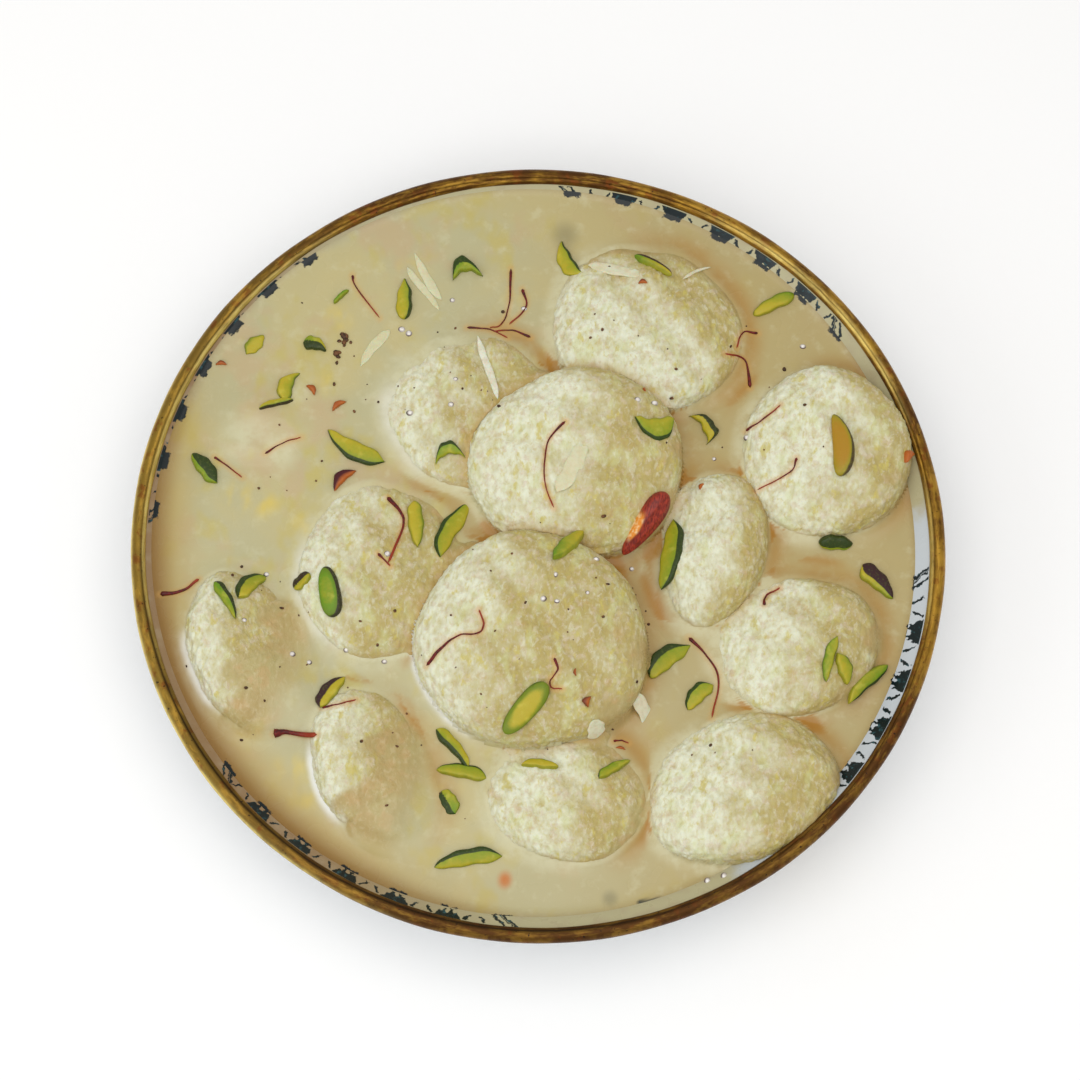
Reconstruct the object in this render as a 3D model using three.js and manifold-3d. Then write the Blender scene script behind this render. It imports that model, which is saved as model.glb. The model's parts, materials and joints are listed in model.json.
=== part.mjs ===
// Rasmalai: soft discs of fresh cheese in saffron milk, strewn with pistachio, almond and saffron,
// in a shallow glazed bowl whose lip is bound with a rounded brass band.
// Millimetres, +Z up, origin on the table under the middle of the bowl.
import * as THREE from "three";
import { mergeVertices } from "three/addons/utils/BufferGeometryUtils.js";
import Module from "manifold-3d";

const wasm = await Module();
wasm.setup();

// Bowl and band
const BAND_CENTRE = [102.9, 28]; // radius and height of the middle of the band's round section
const BAND_RADIUS = 2.1;
const LIP_HALF = 0.95; // half the thickness of the glazed lip inside the band
const LIP_SLOPE = THREE.MathUtils.degToRad(40);
const LIP_VISIBLE = 2; // where the lip comes out of the band, measured back from the band's middle
const FOOT_OUTER = 55;
const FOOT_INNER = 50;
const LEAN = 1.5; // the lip is this much higher than its mean at LEAN_TOWARD, and lower opposite
const LEAN_TOWARD = THREE.MathUtils.degToRad(-45);
const LEAN_START = 60; // radius where the lean begins; the foot and floor stay level
const TURN_SIDES = 48;
const GAP = 0.3; // clearance between pieces that touch
const ROUNDING = 0.08; // how far a simplified surface may depart from the cut one

// Milk
const LEVEL = 25;

// Cheese discs: middle, semi-axes, heading of the long axis, thickness, tilt and where it tilts down to.
// They are listed from the top of the heap down: each presses its shape into those after it.
const DISC_SIDES = 22;
const DISCS = [
  { name: "front_centre", at: [0.5, -26.3, 28], a: 29, b: 29.3, heading: 0, thick: 20, tilt: 4, down: 225 },
  { name: "middle", at: [8, 22.5, 27.5], a: 28, b: 25.5, heading: 30, thick: 19, tilt: 7, down: 250 },
  { name: "right", at: [72, 32.2, 25], a: 23.2, b: 22.8, heading: 0, thick: 18, tilt: 11, down: 205 },
  { name: "right_of_middle", at: [45.3, 4, 21.5], a: 22, b: 14.5, heading: 80, thick: 19, tilt: 14, down: 170 },
  { name: "back", at: [23, 63, 22], a: 25.3, b: 25, heading: 0, thick: 19, tilt: 6, down: 80 },
  { name: "left_of_middle", at: [-21, 36.3, 20.5], a: 24.5, b: 23, heading: 0, thick: 18, tilt: 5, down: 120 },
  { name: "left_centre", at: [-37.7, -9.3, 20.5], a: 25, b: 25, heading: 0, thick: 18.5, tilt: 5, down: 40 },
  { name: "front", at: [13.5, -65, 20.5], a: 21.5, b: 19, heading: 0, thick: 18, tilt: 5, down: 90 },
  { name: "right_low", at: [67.3, -19.8, 21.5], a: 22.5, b: 19.8, heading: 20, thick: 18, tilt: 8, down: 150 },
  { name: "front_right", at: [57, -59.2, 23.5], a: 26, b: 19.2, heading: 28, thick: 18, tilt: 9, down: 130 },
  { name: "left", at: [-70, -35.5, 20.5], a: 24, b: 17, heading: 115, thick: 18, tilt: 16, down: 20 },
  { name: "front_left", at: [-36, -62.3, 20.5], a: 23, b: 16.5, heading: 120, thick: 18, tilt: 14, down: 30 },
  { name: "sunk", at: [-72, 27, 18], a: 18, b: 16, heading: 20, thick: 16, tilt: 3, down: 300 },
];

// Whole nuts, each a piece of its own lying in a dent
const WHOLE_NUTS = [
  { name: "almond", at: [26.5, 7], length: 19.5, width: 7, thick: 5, heading: -115 },
  { name: "pistachio_front", at: [0.5, -46], length: 16.5, width: 6, thick: 4.6, heading: 55 },
  { name: "pistachio_left", at: [-52, -18.5], length: 13.5, width: 5.5, thick: 4.4, heading: -75 },
  { name: "pistachio_right", at: [75.5, 32], length: 17, width: 5.5, thick: 4.4, heading: -80 },
];

// Cut nuts. Each row is x, y, length, width and heading in degrees; kinds are described by CUT_KINDS.
const CUT_NUTS = {
  sliver: [
    [0.5, 79.5, 11.5, 4, 125], [-41, 65, 11.5, 4, 95], [-63, 50, 6.5, 3, -15], [-50, 22, 17.5, 5, 155],
    [-23, 2.5, 18.5, 5, 70], [-32, 2, 13, 4, -80], [8, -1, 14, 4, 65], [34.5, 0.5, 19.5, 5.5, -95],
    [-78, -23, 12, 2.5, -55], [-73, -18, 11.5, 4.5, 55], [-49.5, -43.5, 11, 4, 60], [56, 73, 12.5, 3.5, 35],
    [76.5, 8.5, 9, 4, 5], [88, -1, 12, 4.5, -45], [76.5, -24.5, 12.5, 2.5, 80], [80.5, -26.5, 8.5, 4, -65],
    [86.5, -28.5, 15, 4, 50], [35.5, -26.5, 14, 5.5, 45], [44, -35.5, 9.5, 4, 50], [-20, -55.5, 12.5, 3, -45],
    [-12.5, -61, 13, 3.5, 0], [-16.5, -69.5, 7, 4, -55], [-10.5, -83.5, 17.5, 4, 15], [5.5, -58.5, 9.5, 2.5, 0],
    [24, -57.5, 10.5, 2.5, 40],
  ],
  oval: [
    [-88, 13, 10.5, 4, -45],
  ],
  curl: [
    [-26, 76, 8, 6, 15], [-25.5, 23, 8, 5, 15], [41, 37.5, 9, 4, -55],
  ],
  shard: [
    [27, 31.5, 11, 6, 190], [-72, 37, 14.5, 4, 60], [-52.5, 14, 8, 4, 50],
  ],
  flake: [
    [-17.5, 47, 19.5, 2, -75], [6.5, 19.5, 16.5, 4.5, -115], [30, -41.5, 13, 4, -40], [18.5, -48.5, 7, 4.5, -60],
    [14, 77, 13, 3, -5], [-35.5, 72, 13, 2, -58],
  ],
};
// Thickness, and how far each side bows out from the line through the tips, in half widths
const CUT_KINDS = {
  sliver: { thick: 2.2, outer: 1.45, inner: -0.55 },
  oval: { thick: 2.6, outer: 1, inner: -1 },
  curl: { thick: 3, outer: 2, inner: 0.6 },
  shard: { thick: 2.2, outer: 1.9, inner: 0 },
  flake: { thick: 1.2, outer: 1, inner: -1 },
};
const NUT_SUNK = 0.4; // share of a nut's thickness that is below the surface

// Saffron: the points that each thread passes over
const THREAD_RADIUS = 0.42;
const THREADS = [
  [[-55.5, 70.5], [-54, 67], [-47, 59]],
  [[-14, 76.5], [-13.5, 66.5], [-15, 60.5], [-18, 59]],
  [[52.5, 64.5], [48.5, 64], [47, 59]],
  [[44, 56.5], [49.5, 56.5], [51.5, 49]],
  [[51, 36.5], [54.5, 38.5], [59.5, 43]],
  [[55, 20], [63, 24.5], [64.5, 28.5]],
  [[4, 30.5], [0, 25], [0, 15], [3, 8]],
  [[-40, 9], [-35.5, 3.5], [-37, -8]],
  [[-25.5, -36], [-19.5, -28.5], [-13.5, -26.5], [-12, -23.5], [-13.5, -20.5]],
  [[6.5, -31.5], [7.5, -35.5], [6.5, -37.5], [9, -39.5]],
  [[40.5, -20.5], [45, -24.5], [49, -31], [48, -41.5]],
  [[-86, 16.5], [-82.5, 14.5], [-78, 11.5]],
  [[-95.5, -22], [-90, -20.5], [-86, -17]],
  [[-62.5, -56.5], [-59, -55.5], [-51.5, -55.5]],
];

// A closed three.js geometry as a solid, in the frame of the matrix
function solidOf(geometry, matrix = new THREE.Matrix4()) {
  const bare = geometry.clone().applyMatrix4(matrix);
  bare.deleteAttribute("normal");
  bare.deleteAttribute("uv");
  const merged = mergeVertices(bare, 1e-4);
  const corners = merged.index.array;
  const triangles = [];
  for (let i = 0; i < corners.length; i += 3) {
    const [p, q, r] = corners.slice(i, i + 3);
    if (p !== q && q !== r && r !== p) triangles.push(p, q, r);
  }
  return new wasm.Manifold(new wasm.Mesh({
    numProp: 3,
    vertProperties: new Float32Array(merged.attributes.position.array),
    triVerts: new Uint32Array(triangles),
  }));
}

// The same solid's triangles as a three.js geometry
function geometryOf(solid) {
  const { vertProperties, triVerts } = solid.getMesh();
  const geometry = new THREE.BufferGeometry();
  geometry.setAttribute("position", new THREE.BufferAttribute(vertProperties, 3));
  geometry.setIndex(new THREE.BufferAttribute(triVerts, 1));
  geometry.computeVertexNormals();
  return geometry;
}

// The largest of the bodies that a cut leaves, without the scraps that a rounding leaves
function largestBody(solid) {
  const bodies = solid.decompose();
  return bodies.reduce((best, body) => (body.volume() > best.volume() ? body : best)).simplify(ROUNDING);
}

// How far the bowl's lean lifts a point
function leanAt(x, y) {
  const radius = Math.hypot(x, y);
  const share = THREE.MathUtils.smoothstep(radius, LEAN_START, BAND_CENTRE[0]);
  return (LEAN * share * (x * Math.cos(LEAN_TOWARD) + y * Math.sin(LEAN_TOWARD))) / BAND_CENTRE[0];
}

// A profile of [radius, height] pairs, turned about +Z and given the bowl's lean
function turned(profile) {
  const points = profile.map(([radius, height]) => new THREE.Vector2(radius, height));
  const geometry = new THREE.LatheGeometry(points, TURN_SIDES).rotateX(Math.PI / 2);
  const position = geometry.getAttribute("position");
  for (let i = 0; i < position.count; i++) {
    position.setZ(i, position.getZ(i) + leanAt(position.getX(i), position.getY(i)));
  }
  return geometry;
}

// A point beside the band's middle: along the lip's slope, and across it towards the inside of the bowl
function besideBand(along, across) {
  const [radius, height] = BAND_CENTRE;
  return [
    radius + along * Math.cos(LIP_SLOPE) - across * Math.sin(LIP_SLOPE),
    height + along * Math.sin(LIP_SLOPE) + across * Math.cos(LIP_SLOPE),
  ];
}

// The bowl's inside, from the middle of the floor out to where the band covers it
const INSIDE = [
  [0, 7.2], [66, 7.7], [79, 10], [86.5, 13.6], [91.5, 18], [95.6, 22.9],
  besideBand(-LIP_VISIBLE, LIP_HALF),
];

function bowlGeometry() {
  const lip = [besideBand(GAP, LIP_HALF), besideBand(GAP, -LIP_HALF)];
  const outside = [
    besideBand(-LIP_VISIBLE, -LIP_HALF), [97, 18.4], [90.8, 11.4], [80, 6], [62, 3.6],
  ];
  const foot = [[FOOT_OUTER, 0], [FOOT_INNER, 0], [FOOT_INNER - 1, 2.6], [0, 2.6]];
  return turned([...INSIDE, ...lip, ...outside, ...foot].reverse());
}

// The brass band: a round section with a slot that the lip sits in
function bandGeometry() {
  const slotHalf = LIP_HALF + GAP;
  const mouth = Math.sqrt(BAND_RADIUS ** 2 - slotHalf ** 2);
  const halfOpening = Math.atan2(slotHalf, mouth);
  const arcSteps = 8;
  const arc = Array.from({ length: arcSteps + 1 }, (_, i) => {
    const angle = Math.PI + halfOpening + (i / arcSteps) * 2 * (Math.PI - halfOpening);
    return besideBand(BAND_RADIUS * Math.cos(angle), BAND_RADIUS * Math.sin(angle));
  });
  const slot = [besideBand(2 * GAP, slotHalf), besideBand(2 * GAP, -slotHalf)];
  return turned([...arc, ...slot, arc[0]]);
}

// The space inside the bowl, clear of its wall by the gap and straight up above the lip
function roomSolid() {
  const inner = INSIDE.map(([radius, height], i) => {
    const [r0, z0] = INSIDE[Math.max(i - 1, 0)];
    const [r1, z1] = INSIDE[Math.min(i + 1, INSIDE.length - 1)];
    const slope = Math.atan2(z1 - z0, r1 - r0);
    return [Math.max(radius - GAP * Math.sin(slope), 0), height + GAP * Math.cos(slope)];
  });
  inner[0] = [0, INSIDE[0][1] + GAP];
  const edge = inner.at(-1)[0];
  return solidOf(turned([...inner, [edge, 70], [0, 70]]));
}

// How far a disc's outline stands out of its ellipse, as a share of its radius, and how its faces roll
function outlineShare(angle, seed) {
  return 0.03 * Math.sin(2 * angle + 1.7 * seed) + 0.022 * Math.sin(3 * angle + 2.9 * seed)
    + 0.013 * Math.sin(5 * angle + 4.1 * seed);
}

function faceRoll(x, y, seed) {
  return 0.45 * Math.sin(x / 4.1 + seed) * Math.cos(y / 3.7 + 1.3 * seed)
    + 0.3 * Math.sin((x + y) / 2.7 + 2 * seed);
}

// A flattened, round-edged disc about its own middle; grow makes it larger all round
function discGeometry({ a, b, thick }, seed, grow = 0) {
  const roundness = 0.72;
  const latitudes = [-90, -40, 0, 18, 36, 54, 72, 90].map(THREE.MathUtils.degToRad);
  const profile = latitudes.map((t) => new THREE.Vector2(
    Math.max(Math.cos(t), 0) ** roundness,
    Math.sign(t) * Math.abs(Math.sin(t)) ** roundness,
  ));
  profile[0].x = 0;
  profile.at(-1).x = 0;
  const geometry = new THREE.LatheGeometry(profile, DISC_SIDES).rotateX(Math.PI / 2);
  const position = geometry.getAttribute("position");
  const point = new THREE.Vector3();
  for (let i = 0; i < position.count; i++) {
    point.fromBufferAttribute(position, i);
    const angle = Math.atan2(point.y, point.x);
    const out = 1 + outlineShare(angle, seed);
    const x = point.x * (a * out + grow);
    const y = point.y * (b * out + grow);
    const top = THREE.MathUtils.smoothstep(point.z, 0, 1);
    position.setXYZ(i, x, y, point.z * (thick / 2 + grow) + top * faceRoll(x, y, seed));
  }
  return geometry;
}

function discMatrix({ at, heading, tilt, down }) {
  const [turn, lean, side] = [heading, tilt, down].map(THREE.MathUtils.degToRad);
  const axis = new THREE.Vector3(-Math.sin(side), Math.cos(side), 0);
  return new THREE.Matrix4()
    .makeTranslation(...at)
    .multiply(new THREE.Matrix4().makeRotationAxis(axis, lean))
    .multiply(new THREE.Matrix4().makeRotationZ(turn));
}

// A cut nut lying flat at the origin, its length along +X
function cutNutGeometry(kind, length, width) {
  const { thick, outer, inner } = CUT_KINDS[kind];
  const half = length / 2;
  const outline = new THREE.Shape();
  outline.moveTo(-half, 0);
  outline.quadraticCurveTo(-0.1 * length, outer * width, half, 0);
  outline.quadraticCurveTo(0, inner * width, -half, 0);
  return new THREE.ExtrudeGeometry(outline, { depth: thick, bevelEnabled: false, curveSegments: 3 })
    .translate(0, (-0.25 * (outer + inner)) * width, -thick * NUT_SUNK);
}

// A whole nut at the origin, its length along +X; grow makes it larger all round
function wholeNutGeometry({ length, width, thick }, grow = 0) {
  return new THREE.SphereGeometry(1, 8, 6)
    .scale(length / 2 + grow, thick / 2 + grow, width / 2 + grow)
    .rotateX(Math.PI / 2)
    .translate(0, 0, thick * (0.5 - NUT_SUNK));
}

const discs = DISCS.map((row, i) => {
  const matrix = discMatrix(row);
  const seed = i + 1;
  return {
    ...row,
    matrix,
    solid: solidOf(discGeometry(row, seed), matrix),
    grown: solidOf(discGeometry(row, seed, GAP), matrix),
  };
});
const room = roomSolid();

// Each disc keeps clear of the bowl and gives way to the discs above it
discs.forEach((disc, i) => {
  const above = discs.slice(0, i).map((other) => other.grown);
  const fitted = above.reduce((solid, other) => solid.subtract(other), disc.solid.intersect(room));
  disc.core = largestBody(fitted);
});

const aboveMilk = solidOf(new THREE.BoxGeometry(300, 300, 100).translate(0, 0, LEVEL + 50));
const milk = { name: "milk", core: room.subtract(aboveMilk) };
const hosts = [...discs, milk];

// What lies under a place seen from above: the host, the height and the way its surface faces
const looker = new THREE.Raycaster();
hosts.forEach((host) => {
  host.target = new THREE.Mesh(geometryOf(host.core));
  host.toppings = [];
});

function surfaceAt(x, y, among = hosts) {
  looker.set(new THREE.Vector3(x, y, 80), new THREE.Vector3(0, 0, -1));
  const hits = among.flatMap((host) => looker.intersectObject(host.target).map((hit) => ({ host, hit })));
  if (hits.length === 0) return null;
  const { host, hit } = hits.reduce((best, next) => (next.hit.point.z > best.hit.point.z ? next : best));
  return { host, height: hit.point.z, normal: hit.face.normal };
}

// The frame of something laid flat on the surface at a place, and its host
function laidAt(x, y, heading) {
  const { host, height, normal } = surfaceAt(x, y);
  const upright = new THREE.Quaternion().setFromUnitVectors(new THREE.Vector3(0, 0, 1), normal);
  const matrix = new THREE.Matrix4()
    .compose(new THREE.Vector3(x, y, height), upright, new THREE.Vector3(1, 1, 1))
    .multiply(new THREE.Matrix4().makeRotationZ(THREE.MathUtils.degToRad(heading)));
  return { host, matrix };
}

for (const [kind, rows] of Object.entries(CUT_NUTS)) {
  for (const [x, y, length, width, heading] of rows) {
    const { host, matrix } = laidAt(x, y, heading);
    host.toppings.push(solidOf(cutNutGeometry(kind, length, width), matrix));
  }
}

for (const points of THREADS) {
  const { host } = surfaceAt(...points[Math.floor(points.length / 2)]);
  const route = points.map(([x, y]) => {
    const below = surfaceAt(x, y, [host]) ?? { height: LEVEL };
    return new THREE.Vector3(x, y, below.height + THREAD_RADIUS / 3);
  });
  const corners = new THREE.EllipseCurve(0, 0, THREAD_RADIUS, THREAD_RADIUS).getPoints(4).slice(0, 4);
  host.toppings.push(solidOf(new THREE.ExtrudeGeometry(new THREE.Shape(corners), {
    steps: 2 * points.length,
    extrudePath: new THREE.CatmullRomCurve3(route),
    bevelEnabled: false,
  })));
}

const wholeNuts = WHOLE_NUTS.map((row) => {
  const { host, matrix } = laidAt(...row.at, row.heading);
  const solid = solidOf(wholeNutGeometry(row), matrix);
  const others = discs.filter((disc) => disc !== host);
  return {
    ...row,
    matrix,
    body: others.reduce((left, disc) => left.subtract(disc.grown), solid),
    grown: solidOf(wholeNutGeometry(row, GAP), matrix),
  };
});
const clearOfNuts = (solid) => wholeNuts.reduce((left, nut) => left.subtract(nut.grown), solid);

// Toppings are fused to their host, short of the other pieces
const clearOfMilk = aboveMilk.translate(0, 0, GAP);
discs.forEach((disc) => {
  const others = discs.filter((other) => other !== disc).map((other) => other.grown);
  const whole = disc.toppings.reduce((solid, topping) => {
    const inRoom = topping.intersect(clearOfMilk).intersect(room);
    const clear = others.reduce((left, other) => left.subtract(other), inRoom);
    return clear.isEmpty() ? solid : solid.add(clear);
  }, disc.core);
  disc.body = largestBody(clearOfNuts(whole));
});
const milkWithToppings = milk.toppings.reduce((solid, topping) => solid.add(topping.intersect(room)), milk.core);
const milkRoundDiscs = discs.reduce((solid, disc) => solid.subtract(disc.grown), milkWithToppings);
milk.body = largestBody(clearOfNuts(milkRoundDiscs));

// Finishes
const glaze = new THREE.MeshStandardMaterial({ color: 0xe9eaea, roughness: 0.25 });
const brass = new THREE.MeshStandardMaterial({ color: 0xa8853a, roughness: 0.35, metalness: 0.9 });
const cream = new THREE.MeshStandardMaterial({ color: 0xe3d6ab, roughness: 0.3 });
const cheese = new THREE.MeshStandardMaterial({ color: 0xf0e8cf, roughness: 0.7 });
const pistachio = new THREE.MeshStandardMaterial({ color: 0x9d9422, roughness: 0.6 });
const almondSkin = new THREE.MeshStandardMaterial({ color: 0x84311f, roughness: 0.6 });

function named(name, geometry, material) {
  const mesh = new THREE.Mesh(geometry, material);
  mesh.name = name;
  return mesh;
}

const rasmalai = new THREE.Group();

const dish = new THREE.Group();
dish.add(named("bowl", bowlGeometry(), glaze), named("brass_band", bandGeometry(), brass));
rasmalai.add(dish);

rasmalai.add(named("milk", geometryOf(milk.body), cream));

// A body given in the bowl's frame as a mesh standing in its own frame
function placed(name, { matrix, body }, material) {
  const mesh = named(name, geometryOf(body).applyMatrix4(matrix.clone().invert()), material);
  matrix.decompose(mesh.position, mesh.quaternion, mesh.scale);
  return mesh;
}

const heap = new THREE.Group();
discs.forEach((disc) => heap.add(placed(`disc_${disc.name}`, disc, cheese)));
wholeNuts.forEach((nut) => heap.add(placed(nut.name, nut, nut.name === "almond" ? almondSkin : pistachio)));
rasmalai.add(heap);

export default rasmalai;
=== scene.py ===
"""Rasmalai: soft cheese discs in saffron milk, strewn with pistachio, almond and saffron, in a shallow
glazed bowl whose lip is bound with brass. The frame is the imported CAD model; lengths in the tables are mm."""
import json
import math
import random

import bpy
import numpy as np
from bpy.props import FloatProperty, FloatVectorProperty, IntProperty, PointerProperty
from mathutils import Matrix, Vector
from mathutils.bvhtree import BVHTree

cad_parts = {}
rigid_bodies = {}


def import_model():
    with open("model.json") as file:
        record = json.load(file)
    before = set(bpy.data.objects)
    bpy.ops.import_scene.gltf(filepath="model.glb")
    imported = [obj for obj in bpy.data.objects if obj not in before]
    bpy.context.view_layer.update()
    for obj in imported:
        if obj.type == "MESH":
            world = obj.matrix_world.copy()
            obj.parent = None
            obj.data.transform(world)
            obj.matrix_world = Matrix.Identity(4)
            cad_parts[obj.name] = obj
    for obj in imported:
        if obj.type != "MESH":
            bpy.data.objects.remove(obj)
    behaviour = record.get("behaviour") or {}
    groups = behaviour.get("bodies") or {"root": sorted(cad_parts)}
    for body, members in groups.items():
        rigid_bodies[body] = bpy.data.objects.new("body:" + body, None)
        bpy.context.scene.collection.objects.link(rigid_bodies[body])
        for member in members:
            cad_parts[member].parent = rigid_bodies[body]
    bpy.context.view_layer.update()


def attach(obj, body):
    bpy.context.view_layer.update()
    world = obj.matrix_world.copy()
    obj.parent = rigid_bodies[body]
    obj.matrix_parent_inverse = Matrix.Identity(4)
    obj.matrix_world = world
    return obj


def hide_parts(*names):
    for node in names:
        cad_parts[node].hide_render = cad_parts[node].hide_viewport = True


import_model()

bl_info = {
    "name": "Rasmalai",
    "version": (1, 0, 0),
    "blender": (4, 5, 0),
    "location": "3D View > Sidebar > Rasmalai",
    "description": "A helping of rasmalai in a brass-bound bowl",
    "category": "Mesh",
}

MM = 0.001

# The painted border: four groups of seven motifs, and how far one motif reaches round the bowl
GROUP_CENTRE = math.radians(-24)
MOTIF_ANGLE = math.radians(7.9)
MOTIF_PITCH = 14.0
CLEAN_TOWARD = -22  # in degrees: the wall is bare of milk on this side

# Bowl and band, as the CAD profile has them
BAND_CENTRE = (102.9, 28.0)
LIP_HALF = 0.95
LIP_SLOPE = math.radians(40)
LIP_VISIBLE = 2.0
LEAN = 1.5
LEAN_TOWARD = math.radians(-45)
LEAN_START = 60.0
TURN_STEPS = 240
SHEATH = 0.3  # how far the lip reaches past the band's middle

# The groove in the band and the painted highlight line beside it: turns about the band's own middle, and a
# depth
GROOVE_AT = math.radians(86)
GROOVE_WIDTH = 0.17
GROOVE_DEPTH = 0.34
RIDGE_AT = math.radians(114)

# Cheese discs; directions are in degrees
DISC_ROUNDNESS = 0.72
DISC_GAP = -0.15  # discs that touch reach this far into each other
CREVICE_REACH = 4.5  # how near an upper disc the curd gets painted shade
MOST_LIFT = 4.5  # how far curd rises beside an upper disc
WET_TOWARD = -20
# the discs' lit side, in degrees: painted light and painted highlight on the milk lie there, painted shade
# opposite
LIT_TOWARD = 205
# From the top of the heap down: middle, semi-axes, heading, thickness, tilt, and where it tilts down to;
# where the milk film begins, as a share of the radius towards the wet side; how bright the painted highlight
# line is where the milk climbs the lit side; the wet side, where it isn't the usual one; how pale the bare
# curd is, which also raises the painted light on its faces turned to the left
DISCS = [
    dict(name="front_centre", at=(0.5, -26.3, 28), a=29, b=29.3, heading=0,
         thick=20, tilt=4, down=225, film=0.85, gleam=0.9, pale=0.0),
    dict(name="middle", at=(8, 22.5, 27.5), a=28, b=25.5, heading=30,
         thick=19, tilt=7, down=250, film=0.9, pale=0.36),
    dict(name="right", at=(72, 32.2, 25), a=23.2, b=22.8, heading=0,
         thick=18, tilt=11, down=205, film=0.95, pale=0.55),
    dict(name="right_of_middle", at=(45.3, 4, 21.5), a=22, b=14.5, heading=80,
         thick=19, tilt=14, down=170, film=0.85, pale=0.62),
    dict(name="back", at=(23, 63, 22), a=25.3, b=25, heading=0,
         thick=19, tilt=6, down=80, film=0.8, wet=55, pale=0.6),
    dict(name="left_of_middle", at=(-21, 36.3, 20.5), a=24.5, b=23, heading=0,
         thick=18, tilt=5, down=120, film=0.7, gleam=0.3, pale=0.2),
    dict(name="left_centre", at=(-37.7, -9.3, 20.5), a=25, b=25, heading=0,
         thick=18.5, tilt=5, down=40, film=0.65, gleam=0.3, pale=0.15),
    dict(name="front", at=(13.5, -65, 20.5), a=21.5, b=19, heading=0,
         thick=18, tilt=5, down=90, film=0.85, pale=0.5),
    dict(name="right_low", at=(67.3, -19.8, 21.5), a=22.5, b=19.8, heading=20,
         thick=18, tilt=8, down=150, film=0.75, pale=0.45),
    dict(name="front_right", at=(57, -59.2, 23.5), a=26, b=19.2, heading=28,
         thick=18, tilt=9, down=130, film=0.85, pale=0.48),
    dict(name="left", at=(-70, -35.5, 20.5), a=24, b=17, heading=115,
         thick=18, tilt=16, down=20, film=-0.1, gleam=0.7, pale=0.1),
    dict(name="front_left", at=(-36, -62.3, 20.5), a=23, b=16.5, heading=120,
         thick=18, tilt=14, down=30, film=-0.1, gleam=0.8, pale=0.25),
    dict(name="sunk", at=(-72, 27, 18), a=18, b=16, heading=20,
         thick=16, tilt=3, down=300, film=-2, pale=0.4),
]
MILK_AND_DISCS = ["milk"] + ["disc_" + row["name"] for row in DISCS]

# Milk: steps of its surface, how far from the wall and from the discs its climb dies away, how thick it lies
# over a disc, how far into the curds it sinks where it thins out, and its depths down the wall
MILK_STEPS = 300
WALL_REACH = 1.1
DISC_REACH = 1.3
FILM = 0.07
FILM_SINKS = 0.4
MILK_DEPTHS = (21, 17, 13.5, 10.5, 8.6)
MILK_CLEARANCE = 0.1
NARROW = 13  # gaps between discs narrower than this look deep, with painted shade

# Whole nuts: place, length, width, thickness and heading. For the kernels also how green the middle is, how
# brown the skin, its share at the rim and its side, how golden the kernel is, and its bend
ALMOND = (26.5, 7, 19.5, 6.6, 5, -115)
KERNELS = {
    "pistachio_front": (0.5, -46, 16.5, 6, 4.6, 55, -0.2, 0.1, 0.5, 0.1, 0.0, 0.0),
    "pistachio_left": (-52, -18.5, 13.5, 5.5, 4.4, -75, 0.7, 0.6, 0.9, 0.35, 0.0, 0.0),
    "pistachio_right": (75.5, 32, 17, 5.5, 4.4, -80, -0.1, 0.9, 0.6, 0.3, 1.0, -1.5),
}

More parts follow.
